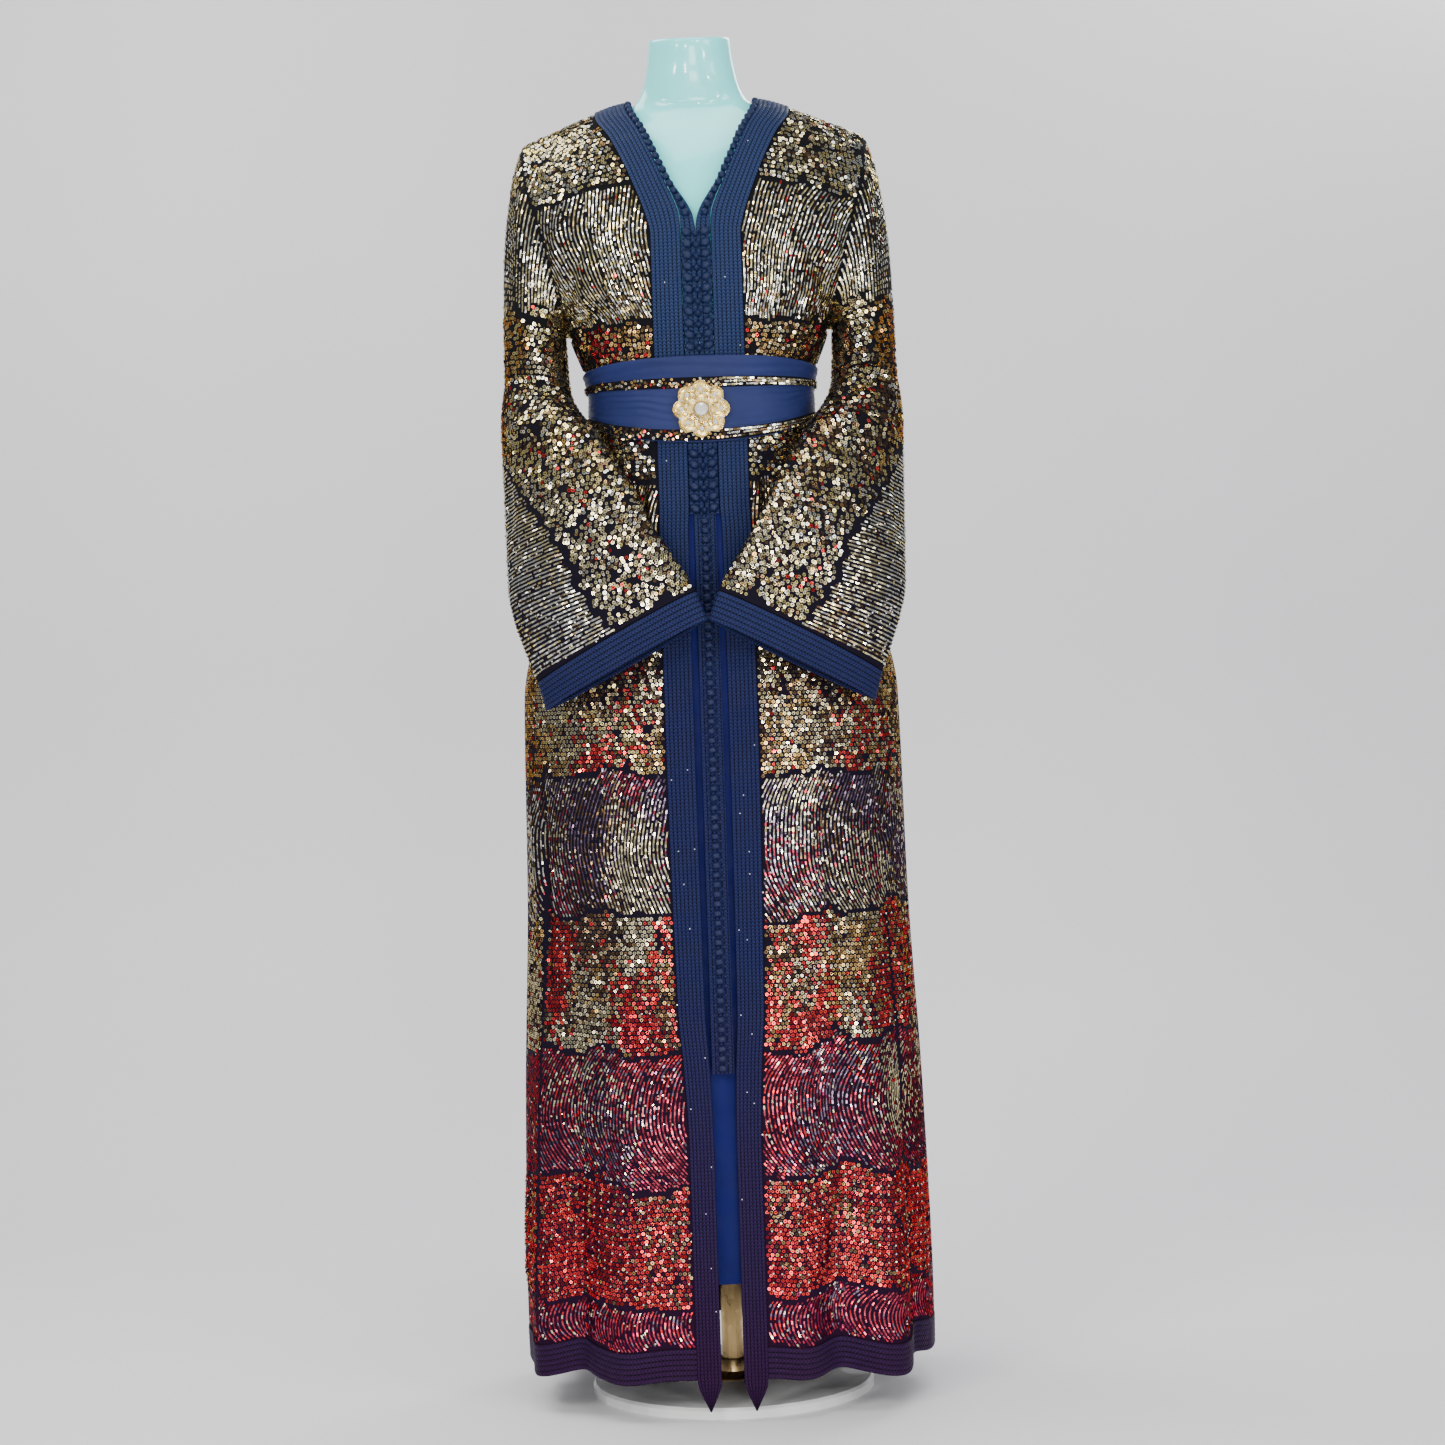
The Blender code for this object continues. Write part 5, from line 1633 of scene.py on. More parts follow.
@dataclass(frozen=True)
class Finish:
    """A finish, made from plain values and shared effects.

    Args:
        name: the material's name.
        colour: its plain colour.
        wear: scale, lowest and highest value of its uneven roughness.
        values: values on its shader.
        dye: colours at the hem, the middle and the top, in place of a plain one.
        thread: thread of its weave, if it is woven; the weave also paints light and shade on its colour.
        cord: width of its plaited cords, if it is a braid; the plait also paints highlights and shade on
            its colour.
        uneven: scale at which its dye is a little uneven.
        dust: amount and colour of the dust on it.
        mottle: scale and colour of soft spots on it.
        grain: scale of its grain.
        bump: strength and depth of its weave, plait or grain.
    """

    name: str
    colour: Colour = (0.0, 0.0, 0.0)
    wear: tuple[float, float, float] | None = None
    values: dict[str, Value] = field(default_factory=dict)
    dye: tuple[Colour, Colour, Colour] | None = None
    thread: float = 0.0
    cord: float = 0.0
    uneven: float = 0.0
    dust: tuple[float, Colour] | None = None
    mottle: tuple[float, Colour] | None = None
    grain: float = 0.0
    bump: tuple[float, float] = (0.0, 0.0)

    def make(self, effects: Effects) -> Material:
        """Make the material.

        Args:
            effects: the shared effects.

        Returns:
            The material.
        """
        made = bpy.data.materials.new(self.name)
        made.use_nodes = True
        shader = made.node_tree.nodes["Principled BSDF"].inputs
        graph = Graph(made.node_tree)
        for key, value in self.values.items():
            graph.feed(shader[key], value)
        colour, height = (*self.colour, 1.0), None
        if self.dye:
            dyes = {name: (*dye, 1.0) for name, dye in zip(("Hem", "Middle", "Top"), self.dye)}
            colour = effects.tint.place_in(graph, dyes)["Colour"]
        if self.thread or self.cord:
            cloth = (effects.weave.place_in(graph, {"Thread": self.thread}) if self.thread
                     else effects.herringbone.place_in(graph, {"Cord Width": self.cord}))
            # Painted light from the weave or plait multiplies the colour: crests lighter, hollows darker.
            colour = graph.blend(1.0, colour, cloth["Shade"], "MULTIPLY")
            height = cloth["Bump Height"]
        if self.uneven:
            dye = graph.remap(graph.noise(self.uneven), 0.3, 0.7, 0.86, 1.12)
            colour = graph.blend(1.0, colour, dye, "MULTIPLY")
        if self.dust:
            factor = effects.dust.place_in(graph, {"Amount": self.dust[0]})["Factor"]
            colour = graph.blend(factor, colour, (*self.dust[1], 1.0))
        if self.mottle:
            colour = graph.blend(graph.noise(self.mottle[0]), colour, (*self.mottle[1], 1.0))
        graph.feed(shader["Base Color"], colour)
        if self.grain:
            height = graph.noise(self.grain)
        if height:
            strength, depth = self.bump
            bump = {"Strength": strength, "Distance": depth, "Height": height}
            graph.feed(shader["Normal"], graph.node("ShaderNodeBump", bump).outputs[0])
        if self.wear:
            given = dict(zip(("Scale", "Low", "High"), self.wear))
            graph.feed(shader["Roughness"], effects.wear.place_in(graph, given)["Roughness"])
        return made


DARK_NET = Finish("Dark Net", values={"Roughness": 0.8, "Specular IOR Level": 0.06},
                  dye=((0.016, 0.003, 0.018), (0.007, 0.005, 0.013), (0.006, 0.006, 0.008)),
                  thread=0.0016, bump=(0.5, 0.0003))
NAVY_BRAID = Finish("Navy Braid", wear=(60.0, 0.50, 0.68), values={"Specular IOR Level": 0.12},
                    dye=((0.007, 0.0010, 0.011), (0.0030, 0.0042, 0.021), (0.0054, 0.010, 0.030)),
                    cord=0.0048, bump=(0.9, 0.0007))
FINE_BRAID = replace(NAVY_BRAID, name="Fine Navy Braid", cord=0.0060)
NAVY_CORD = Finish("Navy Cord", wear=(90.0, 0.36, 0.54), values={"Specular IOR Level": 0.25},
                   dye=((0.014, 0.004, 0.034), (0.006, 0.010, 0.050), (0.006, 0.014, 0.054)),
                   grain=700.0, bump=(0.35, 0.0003))
LINING_CLOTH = Finish("Royal Blue Lining", (0.003, 0.006, 0.100), (40.0, 0.55, 0.68),
                      {"Specular IOR Level": 0.14}, thread=0.0010, uneven=14.0, bump=(0.25, 0.0001))
BELT_SATIN = replace(LINING_CLOTH, name="Royal Blue Satin", colour=(0.016, 0.025, 0.104),
                     wear=(40.0, 0.35, 0.48), thread=0.0006)
GOLD = Finish("Filigree Gold", (0.82, 0.60, 0.19), (120.0, 0.18, 0.34), {"Metallic": 1.0},
              grain=420.0, bump=(0.12, 0.0002))
BRASS = replace(GOLD, name="Satin Brass", colour=(0.62, 0.44, 0.20), wear=(120.0, 0.26, 0.42))
CLEAR_STONE = Finish("Clear Stone", (0.92, 0.94, 0.96), (300.0, 0.03, 0.09),
                     {"Metallic": 0.35, "IOR": 1.8, "Coat Weight": 1.0, "Coat Roughness": 0.02})
PALE_GLOSS = Finish("Pale Gloss Form", (0.23, 0.95, 0.94), (18.0, 0.14, 0.24),
                    {"Coat Weight": 0.6, "Coat Roughness": 0.06}, dust=(0.06, (0.56, 0.68, 0.66)))
WHITE_COAT = Finish("White Powder Coat", (0.75, 0.76, 0.76), (45.0, 0.34, 0.50), {"Coat Weight": 0.2},
                    dust=(0.35, (0.50, 0.49, 0.47)), grain=900.0, bump=(0.15, 0.0002))
WHITE_BEAD = Finish("White Bead", (0.85, 0.86, 0.90), (200.0, 0.12, 0.25), {"Coat Weight": 0.8})
BACKDROP = Finish("Backdrop", (0.80, 0.785, 0.82), (3.0, 0.42, 0.60), {"Specular IOR Level": 0.25},
                  mottle=(1.2, (0.86, 0.85, 0.87)))


class Finishes:
    """All materials of the kaftan and its stand."""

    def __init__(self) -> None:
        effects = Effects()
        self.sequins = [self.sequin(tone, look).make(effects) for tone, look in SEQUIN_FINISHES.items()]
        self.ground, self.braid, self.fine_braid, self.cord, self.lining, self.satin, self.gold = (
            finish.make(effects) for finish in (DARK_NET, NAVY_BRAID, FINE_BRAID, NAVY_CORD,
                                                LINING_CLOTH, BELT_SATIN, GOLD))
        self.crystal, self.form, self.brass, self.painted, self.pearl, self.floor = (
            finish.make(effects) for finish in (CLEAR_STONE, PALE_GLOSS, BRASS, WHITE_COAT,
                                                WHITE_BEAD, BACKDROP))
        self.open_behind(self.floor)

    def sequin(self, tone: Tone, look: SequinFinish) -> Finish:
        """The finish of one sequin colour."""
        return Finish("Sequin " + tone.name.replace("_", " ").title(), look.colour,
                      (160.0, look.low_roughness, look.high_roughness),
                      {"Metallic": look.metallic, "Specular Tint": (*look.colour, 1.0)})

    def open_behind(self, made: Material) -> None:
        """Let a material be seen through from its back, for views from behind the wall."""
        graph, nodes = Graph(made.node_tree), made.node_tree.nodes
        behind = graph.node("ShaderNodeNewGeometry").outputs["Backfacing"]
        clear = graph.node("ShaderNodeBsdfTransparent").outputs[0]
        mixed = graph.node("ShaderNodeMixShader",
                           {0: behind, 1: nodes["Principled BSDF"].outputs[0], 2: clear})
        graph.feed(nodes["Material Output"].inputs["Surface"], mixed.outputs[0])


def lay_cloth(name: str, node: str, surface: Surface, high: Array | float,
              low: Array | float, material: Material, around: bool = False,
              cords_around: bool = False) -> Piece:
    """Lay a thin closed wall of cloth over a surface and add it to the frame.

    Args:
        name: the piece's name.
        node: the CAD node that it stands for.
        surface: points and unit vectors, rows by columns.
        high: how far the side that shows lies above the points.
        low: how far the other side lies above them.
        material: the cloth's material.
        around: whether the last column joins the first.
        cords_around: whether a braid's cords run along the rows.

    Returns:
        The object.
    """
    points, normals = surface
    sides = tuple(points + normals * np.broadcast_to(lift, points.shape[:2])[..., None]
                  for lift in (high, low))
    mesh = cloth_mesh(name, sides, material, around, cords_around)
    return place_piece(name, mesh, (node,))


@dataclass(frozen=True)
class Cut:
    """A piece's flat cut in metres, and its area in square metres if it isn't a rectangle."""

    width: float
    length: float
    area: float | None = None

    def declare(self, piece: Piece, rests_on: Sequence[str], *with_pieces: Piece) -> None:
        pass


@dataclass(frozen=True)
class Belt:
    """The satin belt with its pleats and sequined strips."""

    body: KaftanBody
    low_side: float = 1.130
    low_front: float = 1.098
    high_side: float = 1.190
    high_front: float = 1.197
    front_power: float = 1.5
    lift: float = 0.0029
    wall: float = 0.0026
    trim_gap: float = 0.00075
    trim_wall: float = 0.0014
    lower_trim: tuple[float, float] = (0.010, 0.145)
    upper_trim: tuple[float, float] = (0.625, 0.755)
    pleats: float = 5.0
    pleat_depth: float = 0.0014
    rows: int = 74
    columns: int = 156
    trim_columns: int = 132
    edge_round: float = 0.0009
    sequin_step: float = 0.0042 / 0.125
    cut: Cut = Cut(0.86, 0.10, 0.0650)

    @property
    def trim_base(self) -> float:
        """How far the strips lie above the body's cloth."""
        return self.lift + self.wall + self.trim_gap

    def level(self, angle: Array, share: Array | float) -> Array:
        """Find the belt's level.

        Args:
            angle: angles round the body.
            share: shares of the belt's height.

        Returns:
            The levels.
        """
        front = np.maximum(np.cos(angle), 0.0) ** self.front_power
        low = self.low_side + (self.low_front - self.low_side) * front
        high = self.high_side + (self.high_front - self.high_side) * front
        return low + (high - low) * share

    def ground(self, angle: Array, share: Array) -> Surface:
        """Points and unit vectors of the smooth cloth below the belt."""
        place = (angle, self.level(angle, share))
        return self.body.surface(*place, creased=False), self.body.normal(*place, creased=False)

    def pleat_height(self, angle: Array, share: Array) -> Array:
        """Shape the pleats.

        Args:
            angle: angles round the body.
            share: shares of the belt's height.

        Returns:
            How far the satin stands out.
        """
        low, high = self.lower_trim[1] + 0.012, self.upper_trim[0] - 0.010
        place = (share - low) / (high - low)
        wander = (0.30 * np.sin(3 * angle + 0.6) + 0.20 * np.sin(7 * angle + 2.0)
                  + 0.10 * np.sin(17 * angle))
        phase = place * self.pleats + wander * np.sin(pi * np.clip(place, 0, 1))
        saw = phase - np.floor(phase)
        ridge = (1 - saw) ** 0.8 * smooth_step(saw / 0.30) * (0.55 + 0.45 * np.sin(4 * angle + phase))
        inside = smooth_step(place / 0.06) * smooth_step((1 - place) / 0.06)
        upper = (share - self.upper_trim[1] - 0.01) / (0.99 - self.upper_trim[1] - 0.01)
        soft = 0.5 - 0.5 * np.cos(2 * pi * np.clip(upper * 2 + 0.2 * np.sin(5 * angle), 0, 2))
        top = np.where((upper > 0) & (upper < 1), soft * 0.0006, 0.0)
        return self.pleat_depth * ridge * inside + top

    def build(self, looks: Finishes) -> None:
        """Make the belt, its strips and their sequins."""
        angle = full_turn(self.columns)[None, :]
        share = np.linspace(0.0, 1.0, self.rows)[:, None]
        edge = np.minimum(share, 1 - share) / 0.03
        round_edge = self.edge_round * (1 - np.sqrt(1 - (1 - np.clip(edge, 0, 1)) ** 2))
        high = self.lift + self.wall + self.pleat_height(angle, share) - round_edge
        belt = lay_cloth("belt_satin_band", "belt", self.ground(angle, share), high,
                         self.lift, looks.satin, True)
        work = SequinWork(71)
        strips = [self.strip(name, limits, looks, work) for name, limits in (
            ("belt_sequin_lower", self.lower_trim), ("belt_sequin_upper", self.upper_trim))]
        self.cut.declare(belt, ("front_left_cloth", "front_right_cloth", "back_cloth"),
                         *strips, work.piece("belt_sequins", looks))

    def strip(self, name: str, limits: tuple[float, float], looks: Finishes,
              work: SequinWork) -> Piece:
        """Make one sequined strip of the belt.

        Args:
            name: its CAD node.
            limits: its lower and upper edge as shares of the belt's height.
            looks: the materials.
            work: where its sequins go.

        Returns:
            The strip.
        """
        low, high = limits
        base, top = self.trim_base, self.trim_base + self.trim_wall
        share = np.linspace(low, high, 7)[:, None]
        bulge = self.trim_wall * np.sin(pi * (share - low) / (high - low)) ** 0.4
        strip = lay_cloth(name + "_band", name,
                          self.ground(full_turn(self.trim_columns)[None, :], share),
                          base + 0.0001 + bulge, base, looks.ground, True)
        for row in range(3):
            turn = np.arange(0.0, 2 * pi, self.sequin_step) + 0.016 * (row % 2)
            lined = (turn > 0.16) & (turn < 1.35)
            share = np.where(lined, 0.16 + 0.30 * row + 0.10 * np.sin(4 * turn + 0.4 * row),
                             0.20 + 0.30 * row + 0.10 * work.rng.normal(size=turn.shape))
            at = low + (high - low) * np.clip(share, 0.08, 0.90)
            (points, normals), (after, later) = (self.ground(turn + step, at) for step in (0.0, 0.01))
            points, after = points + normals * top, after + later * top
            places = Places(points, normals, after - points)
            sparse = ~lined & (work.rng.random(turn.shape) > 0.20)
            work.sew(BELT_STRIP, places.only(sparse), 0.76)
            work.sew(BELT_LINES, places.only(lined), 1.12)
        return strip


@dataclass(frozen=True)
class Panels:
    """The back and the two fronts, with their sequins and side piping."""

    body: KaftanBody
    belt: Belt
    cloth: float = 0.0018
    rows_below: int = 128
    rows_above: int = 30
    front_columns: int = 46
    back_columns: int = 92
    seam_margin: float = 0.012
    piping: float = 0.0016
    piping_lift: float = 0.0008
    piping_runs: tuple[tuple[float, float], ...] = ((0.0, 1.124), (1.196, 1.3))
    front_cut: Cut = Cut(0.36, 1.53, 0.37)
    back_cut: Cut = Cut(0.76, 1.53, 0.815)

    def front(self, side: float) -> Surface:
        """Lay out one front.

        Args:
            side: 1 for the wearer's left and -1 for the right.

        Returns:
            Its points and unit vectors.
        """
        levels = self.body.panel_levels(self.rows_below, self.rows_above)[:, None]
        first, last = self.body.front_angle("panel_edge", levels), self.body.side_angle(levels)
        angles = side * (first + (last - first) * np.linspace(0.0, 1.0, self.front_columns))
        return self.body.halves(self.body.cloth(angles, levels), -1.0, -1)

    def back(self) -> Surface:
        """Points and unit vectors of the back, with its round neckline."""
        body = self.body
        levels = body.panel_levels(self.rows_below, self.rows_above)[:, None]
        angles = pi + np.linspace(-1.0, 1.0, self.back_columns) * body.side_angle(levels)
        top_x = body.surface(angles[-1], levels[-1])[:, 0]
        share = np.clip(np.abs(top_x) / body.neck_half_width, 0.0, 1.0)
        top = np.interp(body.neck_depth * np.sqrt(1 - share ** 2), *body.back_profile())
        rise = np.clip((levels - body.chest) / (body.shoulder_level - body.chest), 0.0, 1.0)
        surface = body.cloth(angles, levels + rise * (top - body.shoulder_level))
        seam = np.zeros(angles.shape, bool)
        seam[-1] = top > body.shoulder_level - STEP
        return body.halves(surface, 1.0, seam)

    def build(self, looks: Finishes) -> None:
        """Make the panels, their sequins and the piping."""
        grids = [("front_left", self.front(1.0)), ("front_right", self.front(-1.0)),
                 ("back", self.back())]
        left, right, back = (lay_cloth(name + "_cloth", name, surface, 0.0,
                                       -self.cloth, looks.ground) for name, surface in grids)
        pattern = BodyPattern(self.body, self.belt, 5)
        sequins = [self.front_sequins(name, side, pattern, seed, looks)
                   for (name, side), seed in zip(SIDES, (21, 33))]
        sequins.append(self.back_sequins(pattern, looks))
        piping = self.side_piping(looks)
        self.front_cut.declare(left, ("form_body",), sequins[0])
        self.front_cut.declare(right, ("form_body",), sequins[1])
        self.back_cut.declare(back, ("form_body",), sequins[2], piping)

    def front_sequins(self, name: str, side: float, pattern: BodyPattern, seed: int,
                      looks: Finishes) -> Piece:
        """Sew one front's sequins.

        Args:
            name: the front's side in words.
            side: 1 for the wearer's left and -1 for the right.
            pattern: layout of the embroidery.
            seed: number that fixes the sequins.
            looks: the materials.

        Returns:
            The sequins.
        """
        def limits(level: float) -> tuple[float, float]:
            """First and last angle of the rows at a level."""
            edge = float(self.body.front_angle("braid_edge", level, 0.0012))
            last = float(self.body.side_angle(level)) - self.seam_margin
            return (edge, last) if side > 0 else (-last, -edge)

        def hidden(angle: Array, level: Array) -> Array:
            """Whether the front braid covers a place."""
            return np.abs(angle) < self.body.front_angle("braid_edge", level, 0.0008)

        work = SequinWork(seed)
        first, last = sorted((0.0, side * pi / 2))
        pattern.sew(work, limits, side * 0.65, (first, last), hidden)
        return work.piece("sequins_front_" + name, looks)

    def back_sequins(self, pattern: BodyPattern, looks: Finishes) -> Piece:
        """Sew the back's sequins.

        Args:
            pattern: layout of the embroidery.
            looks: the materials.

        Returns:
            The sequins.
        """
        distances, profile = self.body.back_profile()
        width, depth = self.body.neck_half_width + 0.036, self.body.neck_depth + 0.036

        def limits(level: float) -> tuple[float, float]:
            """First and last angle of the rows at a level."""
            half = float(self.body.side_angle(level)) - self.seam_margin
            return pi - half, pi + half

        def hidden(angle: Array, level: Array) -> Array:
            """Whether the neck's braid covers a place."""
            across = self.body.surface(angle, level, creased=False)[..., 0] / width
            return across ** 2 + (np.interp(-level, -profile, distances) / depth) ** 2 < 1.0

        work = SequinWork(47)
        pattern.sew(work, limits, pi - 0.6, (pi / 2, 3 * pi / 2), hidden)
        return work.piece("sequins_back", looks)

    def side_piping(self, looks: Finishes) -> Piece:
        """Make the thin cords over the side seams, out of the belt's way."""
        parts = MeshParts()
        levels = np.linspace(self.body.hem + 0.002, self.body.armpit - 0.004, 240)
        for angle in (pi / 2, -pi / 2):
            for low, high in self.piping_runs:
                points, normals = self.body.cloth(angle, levels[(levels > low) & (levels < high)])
                parts.add(*tube(points + normals * self.piping_lift, self.piping))
        return parts.piece("side_piping", [looks.cord], "navy_braid")


@dataclass(frozen=True)
class Braids:
    """The flat braids with their plaited cords, and the small white beads on them."""

    body: KaftanBody
    wall: float = 0.0015
    front_cords: int = 7
    hem_cords: int = 6
    hem_rows: int = 90
    back_hem_rows: int = 170
    side_edge: float = pi / 2 - 0.001
    tab: float = 0.012
    neck_width: float = 0.034
    neck_lift: float = 0.0010
    bead_count: int = 16
    bead_radius: float = 0.0007
    front_cut: Cut = Cut(0.0345, 1.53)
    hem_cut: Cut = Cut(0.333, 0.035)
    back_hem_cut: Cut = Cut(0.79, 0.035)
    neck_cut: Cut = Cut(0.307, 0.034)

    def shares(self, cords: int) -> Array:
        """Shares of a braid's width, enough for its cords."""
        return np.linspace(0.0, 1.0, 3 * cords + 1)

    @property
    def hem_levels(self) -> Array:
        """Levels across the hem's braid."""
        return self.body.hem + self.body.hem_braid * self.shares(self.hem_cords)

    def front(self, side: float) -> Surface:
        """Lay out a front braid.

        Args:
            side: 1 for the wearer's left and -1 for the right.

        Returns:
            Its points and unit vectors.
        """
        levels = np.concatenate([np.linspace(self.tab, 1.30, 240, endpoint=False),
                                 self.body.shoulder_level - 0.208 * np.linspace(1, 0, 60) ** 1.5])
        levels = levels[:, None]
        low, high = (self.body.front_angle(edge, levels) for edge in ("panel_edge", "braid_edge"))
        angles = side * (low + (high - low) * self.shares(self.front_cords))
        return self.body.halves(self.body.cloth(angles, levels), -1.0, -1)

    def hem(self, first: Array | float, last: float, count: int) -> Surface:
        """Lay out a braid along the hem.

        Args:
            first: angle at which it starts, for each level.
            last: angle at which it ends.
            count: rows from end to end.

        Returns:
            Its points and unit vectors.
        """
        levels = self.hem_levels[None, :]
        angles = first + (last - first) * np.linspace(0.0, 1.0, count)[:, None]
        return self.body.cloth(angles, levels)

    def neck(self) -> Surface:
        """Points and unit vectors of the braid round the back of the neck."""
        angles = np.linspace(0.0, pi, 72)[:, None]
        width = self.shares(self.front_cords) * self.neck_width
        half_width = (self.body.neck_half_width + width) * np.cos(angles)
        depth = (self.body.neck_depth + width) * np.sin(angles)
        levels = np.interp(depth, *self.body.back_profile())
        surface = self.body.cloth(pi - self.body.angle_at(half_width, levels), levels)
        return self.body.halves(surface, 1.0, [0, -1])

    def build(self, looks: Finishes) -> None:
        """Make all braids of the body."""
        for name, side in SIDES:
            self.lay("sfifa_" + name, self.front(side), "front_" + name, self.front_cut, looks.braid)
        self.lay("sfifa_back_neck", self.neck(), "back", self.neck_cut, looks.braid, self.neck_lift)
        start = self.body.front_angle("braid_edge", self.hem_levels, SEAM)
        for name, side in SIDES:
            hem = self.hem(side * start, side * self.side_edge, self.hem_rows)
            self.lay("hem_" + name, hem, "front_" + name, self.hem_cut, looks.fine_braid)
        hem = self.hem(self.side_edge, 2 * pi - self.side_edge, self.back_hem_rows)
        self.lay("hem_back", hem, "back", self.back_hem_cut, looks.fine_braid)
        self.white_beads(looks)

    def lay(self, node: str, surface: Surface, on: str, cut: Cut, look: Material,
            lift: float = SEAM) -> None:
        """Args:
            node: its CAD node.
            surface: its points and unit vectors, with the cords along the rows' columns.
            on: CAD node of the cloth that it is sewn on.
            cut: its flat cut.
            look: its material.
            lift: how far it lies above the cloth.
        """
        columns = surface[0].shape[1]
        cords = (columns - 1) // 3
        high = lift + self.wall + cord_ridges(self.shares(cords), cords)
        braid = lay_cloth(node + "_braid", node, surface, high, lift, look)
        cut.declare(braid, (on + "_cloth",))

    def white_beads(self, looks: Finishes) -> None:
        """Sew single small beads here and there on the front braids."""
        rng = np.random.default_rng(8)
        shape, faces = dome(8, 4, 96.0)
        parts = MeshParts()
        for side in (1.0, -1.0):
            levels = rng.uniform(0.10, 1.46, self.bead_count)
            share = rng.integers(1, self.front_cords, self.bead_count) / self.front_cords
            low, high = (FRONT_EDGES.read(name, levels) for name in ("panel_edge", "braid_edge"))
            angle = self.body.angle_at(side * (low + (high - low) * share), levels)
            for point, out in zip(*self.body.cloth(angle, levels)):
                spot = point + out * (SEAM + self.wall)
                parts.add(placed(shape * self.bead_radius, spot, out), faces)
        parts.piece("braid_beads", [looks.pearl], "navy_braid")


def placed(shape: Array, point: Array, out: Array, turn: float = 0.0) -> Array:
    """Move a small shape, made round +Z, to a point with its axis along ``out``.

    Args:
        shape: its points.
        point: where it goes.
        out: unit vector that its +Z turns to.
        turn: turn about its axis in radians.

    Returns:
        The moved points.
    """
    across = unit(np.cross(np.array([0.0, 0.0, 1.0]), out))
    rise = np.cross(out, across)
    c, s = np.cos(turn), np.sin(turn)
    x, y = shape[:, 0] * c - shape[:, 1] * s, shape[:, 0] * s + shape[:, 1] * c
    return point + x[:, None] * across + y[:, None] * rise + shape[:, 2:] * out


